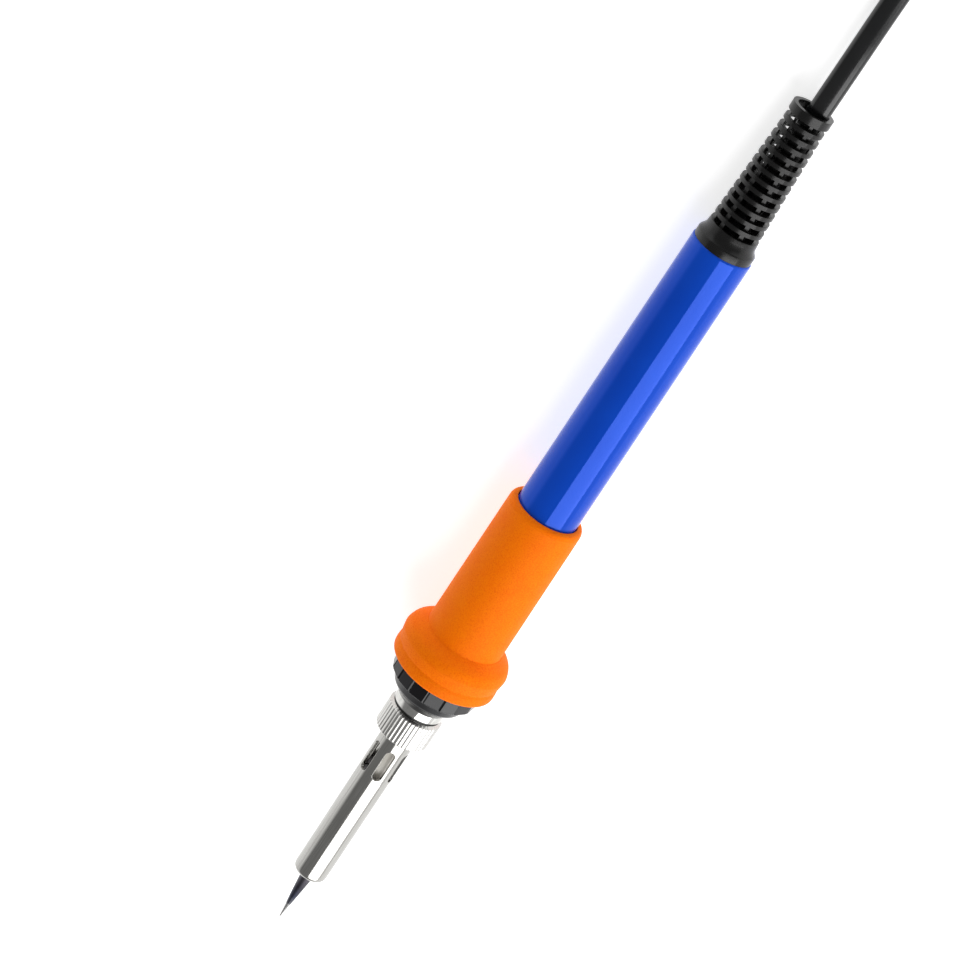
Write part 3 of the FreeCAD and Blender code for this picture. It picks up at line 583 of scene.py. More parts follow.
def cord_route():
    points = [MOUTH.copy()]
    points += [Vector((MOUTH.x + back * MM, y * MM, z * MM)) for back, y, z in LEAD_IN]
    points += hank_points()
    points += [
        Vector((NEAR_X + back * MM, HANK_SIDE + y * MM, HANK_TOP + up * MM))
        for back, y, up in CLIMB
    ]
    points.append(Vector((PLUG_TAIL_HIGH.x, HANK_SIDE, PLUG_MIDDLE.z)))
    return points


def smooth_line(points, steps):
    """Points read from the NURBS spline that a route's points control."""
    data = bpy.data.curves.new("route", "CURVE")
    data.dimensions = "3D"
    data.resolution_u = steps
    spline = data.splines.new("NURBS")
    spline.points.add(len(points) - 1)
    for point, place in zip(spline.points, points):
        point.co = (*place, 1)
    spline.order_u = 3
    spline.use_endpoint_u = True
    route = bpy.data.objects.new("route", data)
    bpy.context.scene.collection.objects.link(route)
    bpy.context.view_layer.update()
    evaluated = route.evaluated_get(bpy.context.evaluated_depsgraph_get())
    mesh = bpy.data.meshes.new_from_object(evaluated)
    line = [vertex.co.copy() for vertex in mesh.vertices]
    bpy.data.objects.remove(route)
    bpy.data.curves.remove(data)
    bpy.data.meshes.remove(mesh)
    return line


def oval_section(width, thickness, side_steps):
    """Outline of a flat oval, as (across, up) points."""
    r = thickness / 2
    flat = width / 2 - r
    points = []
    for side in (1, -1):
        for step in range(side_steps + 1):
            angle = math.pi * (0.5 - step / side_steps)
            points.append((side * (flat + r * math.cos(angle)), side * r * math.sin(angle)))
    return points


def tube_mesh(line, section):
    """A section swept along a line, with its across direction kept level, and closed ends."""
    rings = []
    for index, place in enumerate(line):
        before = line[max(index - 1, 0)]
        after = line[min(index + 1, len(line) - 1)]
        forward = (after - before).normalized()
        side = Vector((0, 0, 1)).cross(forward).normalized()
        up = forward.cross(side)
        rings.append([place + side * across + up * rise for across, rise in section])
    return skinned(rings)


WORLD = Matrix.Identity(4)


def add_cord(with_pieces):
    line = smooth_line(cord_route(), CORD_STEPS)
    vertices, faces = tube_mesh(line, oval_section(CORD_WIDTH, CORD_THICKNESS, CORD_SIDE_STEPS))
    cord = new_piece(
        "flat_cord", vertices, faces, JACKET, "handle", "cord",
        ("cord", "cord_hank", "cord_end"), WORLD,
    )
    [tuple(point) for point in line]


# ---- plug and ties -------------------------------------------------------------------------
PLUG_EDGE = 1.6 * MM
PLUG_FULL_LENGTH = 17.0 * MM
PLUG_REAR_WIDTH = 14.0 * MM
PLUG_REAR_THICKNESS = 10.6 * MM
PLUG_TAIL_WIDTH = 10.6 * MM
PLUG_TAIL_THICKNESS = 9.0 * MM
PLUG_TAIL_END_WIDTH = 6.6 * MM
PLUG_TAIL_END_THICKNESS = 4.9 * MM
PLUG_SIDE_STEPS = 18
PLUG_EDGE_STEPS = 6
PLUG_REAR_EDGE = PLUG_EDGE * 0.6
PLUG_REAR_EDGE_STEPS = 5
TAIL_RINGS = 6
TAIL_GROOVE = 0.7 * MM
# A ring groove's profile: along the tail, as a share of its length, and share of full depth.
TAIL_GROOVE_PROFILE = (
    (0.0, 0.0), (0.008, 0.2), (0.016, 0.75), (0.03, 1.0), (0.05, 1.0), (0.064, 0.75),
    (0.072, 0.2), (0.08, 0.0),
)
PIN_R = 2.0 * MM
PIN_SHANK_R = 1.45 * MM        # inside the sleeve
PIN_ROOT = 8.0 * MM            # inside the plug
PIN_EDGE = 1.7 * MM
PIN_SLEEVE_R = 1.7 * MM
PIN_SLEEVE_LENGTH = 9.0 * MM
TIE_THICKNESS = 0.6 * MM
TIE_CORNER_R = 1.5 * MM
TIE_CORNER_STEPS = 6
TIE_EDGE = 0.25 * MM
TIE_WIRE_R = 0.35 * MM
TIE_TWISTS = 3.5
TIE_WIRE_SIDES = 10
TIE_TAIL_LENGTH = 7.4 * MM
TIE_TAIL_STEPS = 56


def lofted_mesh(sections, z):
    """Flat oval sections (x, width, thickness) joined along X, with closed ends."""
    return skinned([
        [
            (x, HANK_SIDE + across, z + up)
            for across, up in oval_section(width, thickness, PLUG_SIDE_STEPS)
        ]
        for x, width, thickness in sections
    ])


def plug_sections():
    """From the pins' face to the rear, with rounded edges and a soft shoulder."""
    low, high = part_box("plug_body")
    width = high.y - low.y
    thickness = high.z - low.z
    sections = []
    for step in range(PLUG_EDGE_STEPS + 1):
        angle = math.pi / 2 * step / PLUG_EDGE_STEPS
        inset = PLUG_EDGE * (1 - math.sin(angle))
        sections.append((
            low.x + PLUG_EDGE * (1 - math.cos(angle)), width - 2 * inset, thickness - 2 * inset
        ))
    shoulder = low.x + PLUG_FULL_LENGTH
    taper = high.x - shoulder
    sections.append((shoulder - PLUG_EDGE * 3, width, thickness))
    # share of the way along the taper, and of the way from the full section to the rear's
    for share, drop in (
        (-0.12, 0.0), (-0.04, 0.008), (0.04, 0.05), (0.12, 0.12), (0.35, 0.35), (0.6, 0.6),
        (0.85, 0.85),
    ):
        sections.append((
            shoulder + taper * share,
            width + (PLUG_REAR_WIDTH - width) * drop,
            thickness + (PLUG_REAR_THICKNESS - thickness) * drop,
        ))
    for step in range(PLUG_REAR_EDGE_STEPS + 1):
        angle = math.pi / 2 * step / PLUG_REAR_EDGE_STEPS
        inset = PLUG_REAR_EDGE * (1 - math.cos(angle))
        sections.append((
            high.x - PLUG_REAR_EDGE * (1 - math.sin(angle)),
            PLUG_REAR_WIDTH - 2 * inset, PLUG_REAR_THICKNESS - 2 * inset,
        ))
    return sections


def tail_size(share):
    """Width and thickness of the plug's tail at a share of its length from the plug."""
    return (
        PLUG_TAIL_WIDTH + (PLUG_TAIL_END_WIDTH - PLUG_TAIL_WIDTH) * share,
        PLUG_TAIL_THICKNESS + (PLUG_TAIL_END_THICKNESS - PLUG_TAIL_THICKNESS) * share,
    )


def tail_sections():
    """The plug's own strain relief: a taper with ring grooves."""
    low, high = PLUG_TAIL_LOW, PLUG_TAIL_HIGH
    length = high.x - low.x
    sections = [(low.x, PLUG_TAIL_WIDTH, PLUG_TAIL_THICKNESS)]
    for ring in range(TAIL_RINGS):
        start = 0.08 + 0.86 * ring / TAIL_RINGS
        for offset, drop in TAIL_GROOVE_PROFILE:
            share = start + offset
            width, thickness = tail_size(share)
            inset = 2 * TAIL_GROOVE * drop
            sections.append((low.x + length * share, width - inset, thickness - inset))
    width, thickness = tail_size(0.985)
    sections.append((low.x + length * 0.985, width, thickness))
    sections.append((high.x, width - 0.5 * MM, thickness - 0.5 * MM))
    return sections


def pin_place(node):
    """A pin's own frame, whose X runs out along it from the plug's face, and its length there."""
    low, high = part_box(node)
    face_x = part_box("plug_body")[0].x
    vertices = [vertex.co for vertex in frame["nodes"][node].data.vertices]
    outer = [place for place in vertices if place.x < low.x + 1 * MM]
    inner = [place for place in vertices if place.x > high.x - 1 * MM]
    tip = sum(outer, Vector()) / len(outer)
    root = sum(inner, Vector()) / len(inner)
    tip.z = root.z = (low.z + high.z) / 2
    direction = (tip - root).normalized()
    start = root + direction * ((face_x - root.x) / direction.x)
    across = Vector((0, 0, 1)).cross(direction).normalized()
    turn = Matrix((direction, across, direction.cross(across))).transposed().to_4x4()
    return Matrix.Translation(start) @ turn, (low.x - face_x) / direction.x


def add_pin(name):
    """A round pin with its plated bare end and moulded sleeve, along its own slanted axis."""
    node = f"plug_pin_{name}"
    sleeve_node = f"pin_sleeve_{name}"
    place, length = pin_place(node)
    outline = rounded([
        (-PIN_ROOT, 0.0, 0), (-PIN_ROOT, PIN_SHANK_R, 0.2 * MM),
        (PIN_SLEEVE_LENGTH, PIN_SHANK_R, 0), (PIN_SLEEVE_LENGTH, PIN_R, 0.15 * MM),
        (length, PIN_R, PIN_EDGE), (length, 0.0, 0),
    ], 8)
    pin = new_piece(
        f"{name}_pin", *turned_mesh(outline, steps=64, closed=False), PIN_METAL, "handle",
        node, (node,), place,
    )
    sleeve_outline = rounded([
        (-0.4 * MM, PIN_SHANK_R, 0), (-0.4 * MM, PIN_SLEEVE_R, 0),
        (PIN_SLEEVE_LENGTH, PIN_SLEEVE_R, 0.12 * MM), (PIN_SLEEVE_LENGTH, PIN_SHANK_R, 0),
    ], 4)
    sleeve = new_piece(
        f"{name}_pin_sleeve", *turned_mesh(sleeve_outline, steps=64), SLEEVE_PLASTIC, "handle",
        sleeve_node, (sleeve_node,), place,
    )
    return [even_shading(pin), even_shading(sleeve)]


def add_plug():
    shell = new_piece(
        "plug_shell", *lofted_mesh(plug_sections(), PLUG_MIDDLE.z),
        PLUG_VINYL, "handle", "plug_body", ("plug_body",), WORLD,
    )
    boot = new_piece(
        "plug_boot", *lofted_mesh(tail_sections(), PLUG_MIDDLE.z),
        PLUG_VINYL, "handle", "plug_tail", ("plug_tail",), WORLD,
    )
    return [even_shading(shell), boot] + add_pin("left") + add_pin("right")


def tie_band(x_low, x_high, y_low, y_high, z_low, z_high):
    """Flat band round the turns: a rounded loop across X."""
    section = [
        (x_low, 0.0), (x_low + TIE_EDGE, TIE_THICKNESS * 0.5),
        (x_high - TIE_EDGE, TIE_THICKNESS * 0.5), (x_high, 0.0),
        (x_high - TIE_EDGE, -TIE_THICKNESS * 0.35), (x_low + TIE_EDGE, -TIE_THICKNESS * 0.35),
    ]
    centres = (
        (y_high - TIE_CORNER_R, z_high - TIE_CORNER_R), (y_high - TIE_CORNER_R, z_low + TIE_CORNER_R),
        (y_low + TIE_CORNER_R, z_low + TIE_CORNER_R), (y_low + TIE_CORNER_R, z_high - TIE_CORNER_R),
    )
    vertices = []
    for quarter, (y, z) in enumerate(centres):
        for step in range(TIE_CORNER_STEPS + 1):
            angle = math.pi / 2 * (quarter + step / TIE_CORNER_STEPS)
            for x, out in section:
                reach = TIE_CORNER_R + out
                vertices.append((x, y + math.sin(angle) * reach, z + math.cos(angle) * reach))
    faces = []
    size = len(section)
    rings = len(vertices) // size
    for ring in range(rings):
        faces += ring_faces(ring * size, (ring + 1) % rings * size, size)
    return vertices, faces


def tie_tail(root, direction):
    """Two wires twisted round each other."""
    direction = direction.normalized()
    across = direction.cross(ACROSS).normalized()
    third = direction.cross(across)
    section = [
        (TIE_WIRE_R * math.cos(angle), TIE_WIRE_R * math.sin(angle))
        for angle in [2 * math.pi * side / TIE_WIRE_SIDES for side in range(TIE_WIRE_SIDES)]
    ]
    meshes = []
    for phase in (0, math.pi):
        line = []
        for step in range(TIE_TAIL_STEPS + 1):
            share = step / TIE_TAIL_STEPS
            angle = 2 * math.pi * TIE_TWISTS * share + phase
            line.append(
                root + direction * TIE_TAIL_LENGTH * share
                + across * TIE_WIRE_R * math.cos(angle) + third * TIE_WIRE_R * math.sin(angle)
            )
        meshes.append(tube_mesh(line, section))
    return joined(meshes)


def add_ties():
    """A wire tie round each of the two places where the CAD ties hold the turns."""
    vertices = [vertex.co for vertex in frame["nodes"]["hank_ties"].data.vertices]
    half = CORD_WIDTH / 2 + TIE_THICKNESS * 0.45
    meshes = []
    for side in (1, -1):
        places = [place for place in vertices if (place.y - HANK_SIDE) * side > 0]
        z_low = min(place.z for place in places)
        base = [place.x for place in places if place.z < z_low + 0.1 * MM]
        y_middle = HANK_SIDE + side * HANK_FOLD_R
        meshes.append(tie_band(
            min(base), max(base), y_middle - half, y_middle + half,
            z_low + TIE_THICKNESS * 0.56, HANK_TOP + TIE_THICKNESS * 0.45,
        ))
        root = Vector((
            (min(base) + max(base)) / 2, y_middle + side * (half + TIE_THICKNESS * 0.2),
            (HANK_BOTTOM + HANK_TOP) / 2,
        ))
        meshes.append(tie_tail(root, Vector((0.75, side * 0.1, 0.65))))
    return [new_piece(
        "wire_ties", *joined(meshes), TIE_PLASTIC, "handle", "hank_ties", ("hank_ties",), WORLD
    )]


# ---- strain relief -------------------------------------------------------------------------
RELIEF_END_R = 4.54 * MM
RELIEF_END_LENGTH = 1.9 * MM
RELIEF_RIB_REAR_R = 4.34 * MM
RELIEF_RIB_FRONT_R = 5.52 * MM
RELIEF_RIBS = 13
RELIEF_RIB_PITCH = 2.142 * MM
RELIEF_GAP = 1.25 * MM
RELIEF_SKIRT_R = 5.6 * MM
RELIEF_SKIRT_LENGTH = 2.25 * MM
RELIEF_COLLAR_R = 6.5 * MM
RELIEF_COLLAR_LENGTH = 1.55 * MM
RELIEF_MOUTH_R = 3.5 * MM
RELIEF_BORE_R = 2.75 * MM
RELIEF_BORE_TAPER = 23.5 * MM
RELIEF_PLUG_R = 5.2 * MM
RELIEF_POSTS = 6
RELIEF_POST_WIDTH = 1.0 * MM
RELIEF_POST_ANGLE = math.radians(24.0)
RELIEF_POST_DROP = 0.95 * MM       # of a post's top below the ribs
RELIEF_ROUNDING = 0.42 * MM
RELIEF_CORE_R = 2.55 * MM
RELIEF_CORE_FLAT = 0.2 * MM        # that its oval is wider than thick
RELIEF_CORE_START = 3.0 * MM
RELIEF_CORE_SIDE_STEPS = 12
RELIEF_GAP_STEPS = 8               # columns between two posts


def bare_faces(cell, solid):
    """Corners of a cell's faces that have no solid cell beyond them, as grid places."""
    for axis in range(3):
        for side in (0, 1):
            beyond = list(cell)
            beyond[axis] += 2 * side - 1
            if solid(*beyond):
                continue
            first, second = [other for other in range(3) if other != axis]
            if (axis + side) % 2:
                first, second = second, first
            corners = []
            for one, two in ((0, 0), (0, 1), (1, 1), (1, 0)):
                place = list(cell)
                place[axis] += side
                place[first] += one
                place[second] += two
                corners.append(tuple(place))
            yield corners


def cell_mesh(stations, angles, filled):
    """Closed skin round the filled cells of a grid about the axis.

    A station is (x, radii); filled(slab, column, layer) says whether the cell between two
    stations, two angles and two radii is solid.
    """
    layers = len(stations[0][1]) - 1
    columns = len(angles)
    slabs = len(stations) - 1
    vertices = []
    numbers = {}
    faces = []

    def corner(station, column, level):
        key = (station, column % columns, level)
        if key not in numbers:
            x, radii = stations[station]
            numbers[key] = len(vertices)
            vertices.append(around(x, radii[level], angles[column % columns]))
        return numbers[key]

    def solid(slab, column, layer):
        inside = 0 <= slab < slabs and 0 <= layer < layers
        return inside and filled(slab, column % columns, layer)

    for slab in range(slabs):
        for column in range(columns):
            for layer in range(layers):
                if solid(slab, column, layer):
                    for corners in bare_faces((slab, column, layer), solid):
                        faces.append(tuple(corner(*place) for place in corners))
    return vertices, faces


def relief_stations():
    """Stations of the strain relief's rings, gaps, skirt, collar and plug, with their radii."""
    rear, front = span("strain_relief")
    ribs_rear = rear + RELIEF_END_LENGTH
    ribs_front = -RELIEF_COLLAR_LENGTH - RELIEF_SKIRT_LENGTH

    def bore(x):
        share = min(max((x - rear) / RELIEF_BORE_TAPER, 0), 1)
        return RELIEF_MOUTH_R + (RELIEF_BORE_R - RELIEF_MOUTH_R) * share

    def rib(x):
        share = (x - ribs_rear) / (ribs_front - ribs_rear)
        return RELIEF_RIB_REAR_R + (RELIEF_RIB_FRONT_R - RELIEF_RIB_REAR_R) * share

    def at(x, r):
        return x, (bore(x), r - RELIEF_POST_DROP, r)

    stations = [at(rear, RELIEF_END_R), at(ribs_rear, RELIEF_END_R)]
    kinds = ["ring"]
    for index in range(RELIEF_RIBS):
        start = ribs_rear + index * RELIEF_RIB_PITCH
        if index:
            stations.append(at(start, rib(start)))
            kinds.append("ring")
        stations.append(at(start + RELIEF_GAP, rib(start + RELIEF_GAP)))
        kinds.append("gap")
    flare = RELIEF_COLLAR_R - RELIEF_SKIRT_R
    skirt = [(0.0, 0.0), (0.35, 0.06), (0.65, 0.36), (0.85, 0.74), (1.0, 1.0)]
    for share, rise in skirt:
        x = ribs_front + RELIEF_SKIRT_LENGTH * share
        stations.append(at(x, RELIEF_SKIRT_R + flare * rise))
        kinds.append("ring")
    stations.append((0.0, (RELIEF_BORE_R, RELIEF_PLUG_R, RELIEF_COLLAR_R)))
    kinds.append("ring")
    stations.append((front, (RELIEF_BORE_R, RELIEF_PLUG_R, RELIEF_COLLAR_R)))
    kinds.append("plug")
    return stations, kinds


def relief_columns():
    """Angles of the strain relief's columns, and whether each starts a post's."""
    half = RELIEF_POST_WIDTH / 2 / (RELIEF_RIB_FRONT_R - RELIEF_POST_DROP)
    sector = 2 * math.pi / RELIEF_POSTS
    angles = []
    is_post = []
    for post in range(RELIEF_POSTS):
        middle = RELIEF_POST_ANGLE + post * sector
        angles.append(middle - half)
        is_post.append(True)
        for step in range(RELIEF_GAP_STEPS):
            angles.append(middle + half + (sector - 2 * half) * step / RELIEF_GAP_STEPS)
            is_post.append(False)
    return angles, is_post


def add_relief_core():
    """Rubber core that closes the relief's openings over the cord."""
    rear = span("strain_relief")[0]
    line = [
        Vector((rear + RELIEF_CORE_START, CORD_SIDE, 0)),
        Vector((rear + RELIEF_BORE_TAPER, 0, 0)),
        Vector((-RELIEF_COLLAR_LENGTH, 0, 0)),
    ]
    thickness = 2 * RELIEF_CORE_R
    section = oval_section(thickness + RELIEF_CORE_FLAT, thickness, RELIEF_CORE_SIDE_STEPS)
    new_piece("relief_core", *tube_mesh(line, section), RELIEF, "handle", "inner_cord")


def add_strain_relief():
    """Ribbed relief: rings parted by gaps that only the posts bridge, then skirt and plug."""
    angles, is_post = relief_columns()
    stations, kinds = relief_stations()

    def filled(slab, column, layer):
        if kinds[slab] == "ring":
            return True
        return layer == 0 and (kinds[slab] == "plug" or is_post[column])

    relief = new_piece(
        "ribbed_relief", *cell_mesh(stations, angles, filled), RELIEF, "handle", "strain_relief",
        ("strain_relief",),
    )
    return soften(relief, RELIEF_ROUNDING, steps=4)


# ---- handle and grip -----------------------------------------------------------------------
HANDLE_BORE_R = 5.2 * MM
HANDLE_REAR_R = 6.73 * MM
HANDLE_EDGE = 0.4 * MM
GRIP_REAR_R = 8.65 * MM
GRIP_FRONT_R = 8.95 * MM
GRIP_WAIST_R = 12.1 * MM
GRIP_RIM_R = 12.3 * MM
GRIP_CREST_BACK = 5.6 * MM
GRIP_CREST_RISE = 4.2 * MM
GRIP_WAIST_BACK = 3.0 * MM


def add_handle():
    rear, front = span("handle_tube")
    front_r = girth("handle_tube")
    outline = rounded([
        (rear, HANDLE_BORE_R, 0.15 * MM), (rear, HANDLE_REAR_R, HANDLE_EDGE),
        (front, front_r, 0.2 * MM), (front, HANDLE_BORE_R, 0.1 * MM),
    ])
    tube = new_piece(
        "handle_shell", *turned_mesh(outline, steps=192), BLUE, "handle", "handle_tube",
        ("handle_tube",),
    )
    return even_shading(tube)


def eased(points, steps):
    """A smooth line through (x, r) points, by Catmull-Rom."""
    line = []
    ends = [points[0]] + list(points) + [points[-1]]
    for before, start, end, after in zip(ends, ends[1:], ends[2:], ends[3:]):
        for step in range(steps):
            t = step / steps
            line.append(tuple(
                0.5 * (2 * b + (c - a) * t + (2 * a - 5 * b + 4 * c - d) * t * t
                       + (3 * b - a - 3 * c + d) * t ** 3)
                for a, b, c, d in zip(before, start, end, after)
            ))
    return line + [tuple(points[-1])]


def add_grip():
    rear, front = span("grip_sleeve")
    inner = girth("handle_tube") + 0.02 * MM
    crest_r = girth("grip_sleeve") - 0.03 * MM
    crest = front - GRIP_CREST_BACK
    swell = crest - GRIP_CREST_RISE
    rise = crest_r - GRIP_FRONT_R
    outer = [
        (rear, GRIP_REAR_R - 1.05 * MM), (rear + 0.28 * MM, GRIP_REAR_R - 0.42 * MM),
        (rear + 0.95 * MM, GRIP_REAR_R - 0.06 * MM), (rear + 2.4 * MM, GRIP_REAR_R + 0.02 * MM),
        (rear + (swell - rear) * 0.35, GRIP_REAR_R + 0.1 * MM),
        (rear + (swell - rear) * 0.7, GRIP_FRONT_R - 0.1 * MM),
        (swell - 1.0 * MM, GRIP_FRONT_R - 0.02 * MM), (swell + 0.15 * MM, GRIP_FRONT_R + 0.22 * MM),
        (swell + GRIP_CREST_RISE * 0.24, GRIP_FRONT_R + rise * 0.42),
        (swell + GRIP_CREST_RISE * 0.52, GRIP_FRONT_R + rise * 0.80),
        (crest - 0.5 * MM, crest_r - 0.05 * MM), (crest + 0.3 * MM, crest_r - 0.02 * MM),
        (front - GRIP_WAIST_BACK - 0.7 * MM, GRIP_WAIST_R + 0.12 * MM),
        (front - GRIP_WAIST_BACK, GRIP_WAIST_R - 0.08 * MM),
        (front - GRIP_WAIST_BACK + 0.7 * MM, GRIP_WAIST_R + 0.1 * MM),
        (front - 1.3 * MM, GRIP_RIM_R - 0.02 * MM), (front - 0.5 * MM, GRIP_RIM_R - 0.05 * MM),
        (front - 0.12 * MM, GRIP_RIM_R - 0.3 * MM), (front, GRIP_RIM_R - 0.75 * MM),
    ]
    line = [(rear, inner)] + eased(outer, 5) + [(front, 10.4 * MM), (front, inner)]
    return new_piece(
        "grip_rubber", *turned_mesh(line, steps=192), ORANGE, "handle", "grip_sleeve",
        ("grip_sleeve",),
    )


# ---- collar, ring and nut --------------------------------------------------------------------
COLLAR_R = 10.2 * MM
COLLAR_RIBBED_LENGTH = 4.1 * MM
COLLAR_NOSE_R = 6.4 * MM
COLLAR_BORE_R = 4.4 * MM
COLLAR_FACETS = 16
COLLAR_FACET_STEPS = 14
COLLAR_GROOVE = 0.26 * MM          # depth of the narrow grooves between the facets
COLLAR_GROOVE_WIDTH = 0.6 * MM
RING_BORE_R = 3.0 * MM
THREAD_PITCH = 0.8 * MM
THREAD_DEPTH = 0.3 * MM
THREAD_R = 5.0 * MM
RING_LENGTH = 2.6 * MM
RING_EDGE = 0.55 * MM              # painted shade: a dark band at the ring's front that stands for the shadowed gap before the nut
NUT_TEETH = 40
NUT_TOOTH_STEPS = 8
NUT_TOOTH_DEPTH = 0.12 * MM
NUT_KNURL_REACH = 0.6 * MM         # how far below the nut's radius the knurl still cuts
NUT_LIP = 0.9 * MM
NUT_CHAMFER = 0.35 * MM
NUT_THREAD_R = 5.05 * MM
NUT_MOUTH_R = 4.05 * MM


def add_collar():
    """Faceted black collar: flats parted by narrow grooves, then a rounded cone."""
    rear, nose = span("front_collar")
    face = span("grip_sleeve")[1]
    shoulder = face + COLLAR_RIBBED_LENGTH
    facet = 2 * math.pi / COLLAR_FACETS
    groove_half = COLLAR_GROOVE_WIDTH / 2 / COLLAR_R

    def radius_at(x, r, angle):
        if x < face or r < COLLAR_NOSE_R:
            return r
        # 1 where the outline is at the facets' full radius, 0 at the cone
        share = min(max((r - (COLLAR_R - 1.0 * MM)) / (0.9 * MM), 0), 1)
        offset = (angle + facet / 2) % facet - facet / 2
        flat = COLLAR_R * math.cos(facet / 2) / math.cos(facet / 2 - abs(offset))
        dip = COLLAR_GROOVE * max(1 - abs(offset) / groove_half, 0)
        drop = COLLAR_R - max(flat, COLLAR_R * math.cos(facet / 2)) + dip
        return r - drop * share

    outline = rounded([
        (rear, COLLAR_BORE_R, 0), (rear, HANDLE_BORE_R, 0.2 * MM), (face, HANDLE_BORE_R, 0),
        (face, COLLAR_R, 0.12 * MM), (shoulder, COLLAR_R, 0.25 * MM),
        (shoulder + 0.5 * MM, COLLAR_R - 1.15 * MM, 0.35 * MM),
        (shoulder + 2.3 * MM, COLLAR_R - 1.75 * MM, 1.6 * MM),
        (nose - 0.5 * MM, COLLAR_NOSE_R + 0.15 * MM, 0.5 * MM),
        (nose, COLLAR_NOSE_R - 0.25 * MM, 0.1 * MM), (nose, COLLAR_BORE_R, 0),
    ])
    collar = new_piece(
        "faceted_collar",
        *turned_mesh(outline, radius_at, steps=COLLAR_FACETS * COLLAR_FACET_STEPS),
        BLACK, "handle", "front_collar", ("front_collar",),
    )
    return even_shading(collar)


def paint_gap_shade(piece, front, depth):
    """Paints shade on the faces within a depth behind a front end along the iron: they get the dark
    material that stands for the shadow in a gap.
    """
    piece.data.materials.append(SHADE)
    for polygon in piece.data.polygons:
        station = (polygon.center - ORIGIN).dot(ALONG)
        if front - depth < station < front + 0.01 * MM:
            polygon.material_index = 1


def add_thread_sleeve():
    """Polished ring in front of the collar and the thread that the nut runs on."""
    tail, front = span("thread_sleeve")
    nose = span("front_collar")[1]
    ring_r = girth("thread_sleeve")
    ring_front = nose + RING_LENGTH
    outline = rounded([
        (tail, RING_BORE_R, 0.1 * MM), (tail, COLLAR_BORE_R, 0.2 * MM), (nose, COLLAR_BORE_R, 0),
        (nose, ring_r, 0.3 * MM), (ring_front - RING_EDGE, ring_r, 0.12 * MM),
        (ring_front - RING_EDGE, ring_r - 0.25 * MM, 0.1 * MM),
        (ring_front, ring_r - 0.25 * MM, 0.1 * MM), (ring_front, THREAD_R, 0),
    ], 6)
    turns = int((front - ring_front) / THREAD_PITCH)
    for turn in range(turns):
        start = ring_front + turn * THREAD_PITCH
        outline += [
            Vector((start + THREAD_PITCH * 0.1, THREAD_R)),
            Vector((start + THREAD_PITCH * 0.35, THREAD_R - THREAD_DEPTH)),
            Vector((start + THREAD_PITCH * 0.6, THREAD_R - THREAD_DEPTH)),
            Vector((start + THREAD_PITCH * 0.85, THREAD_R)),
        ]
    outline += [
        Vector((front - 0.2 * MM, THREAD_R - 0.1 * MM)), Vector((front, THREAD_R - 0.35 * MM)),
        Vector((front, RING_BORE_R)),
    ]
    sleeve = new_piece(
        "threaded_ring", *turned_mesh(outline, steps=160), RING_STEEL, "handle", "thread_sleeve",
        ("thread_sleeve",),
    )
    # painted shade: the ring's front band gets the black that stands for the shadowed gap before the
    # nut
    paint_gap_shade(sleeve, ring_front, RING_EDGE)
    return even_shading(sleeve)


def add_nut():
    """Nut with fine straight knurling, chamfered at both ends."""
    rear, front = span("barrel_nut")
    nut_r = girth("barrel_nut")
    tooth = 2 * math.pi / NUT_TEETH

    def radius_at(x, r, angle):
        if nut_r - r > NUT_KNURL_REACH:
            return r
        share = (angle % tooth) / tooth
        # narrow grooves between broad rounded crests
        groove = max(1 - abs(share - 0.5) / 0.2, 0)
        return r - NUT_TOOTH_DEPTH * math.sin(groove * math.pi / 2) ** 1.5

    outline = rounded([
        (rear, NUT_THREAD_R, 0.15 * MM), (rear, nut_r - 2 * NUT_CHAMFER, 0.08 * MM),
        (rear + 1.5 * NUT_CHAMFER, nut_r, 0.12 * MM), (front - NUT_CHAMFER, nut_r, 0.12 * MM),
        (front, nut_r - NUT_CHAMFER, 0.12 * MM), (front, NUT_MOUTH_R, 0.12 * MM),
        (front - NUT_LIP, NUT_MOUTH_R, 0), (front - NUT_LIP, NUT_THREAD_R, 0),
    ], 4)
    nut = new_piece(
        "knurled_nut", *turned_mesh(outline, radius_at, steps=NUT_TEETH * NUT_TOOTH_STEPS),
        NUT_STEEL, "nut", "barrel_nut", ("barrel_nut",),
    )
    return even_shading(nut)


# ---- barrel and tip --------------------------------------------------------------------------
BARREL_R = 4.0 * MM
BARREL_BORE_R = 3.3 * MM
BARREL_UNDERCUT_R = 3.8 * MM
BARREL_UNDERCUT_FRONT = 0.8 * MM    # in front of the nut
BARREL_FLANGE_LENGTH = 1.2 * MM
BARREL_NECK_R = 1.75 * MM
BARREL_NECK_LENGTH = 1.3 * MM
BARREL_NOSE_ROUND = 1.1 * MM
SLOT_COUNT = 6
SLOT_LENGTH = 8.1 * MM
SLOT_WIDTH = 2.2 * MM
SLOT_START = 3.5 * MM
SLOT_ANGLE = math.radians(12.0)
SLOT_MARGIN = 1.2 * MM         # of the slotted zone in front of and behind the slots
SLOT_SIDE_STEPS = 10
SLOT_END_STEPS = 20
SLOT_RINGS = (0.0, 0.12, 0.3, 0.6, 1.0)    # of the wall, from the slot's edge to its sector's
TIP_NOSE_R = 1.55 * MM
TIP_SHANK_LENGTH = 27.0 * MM
TIP_SHOULDER_LENGTH = 2.0 * MM
TIP_BORE_DEPTH = 24.0 * MM
TIP_BORE_R = 2.1 * MM


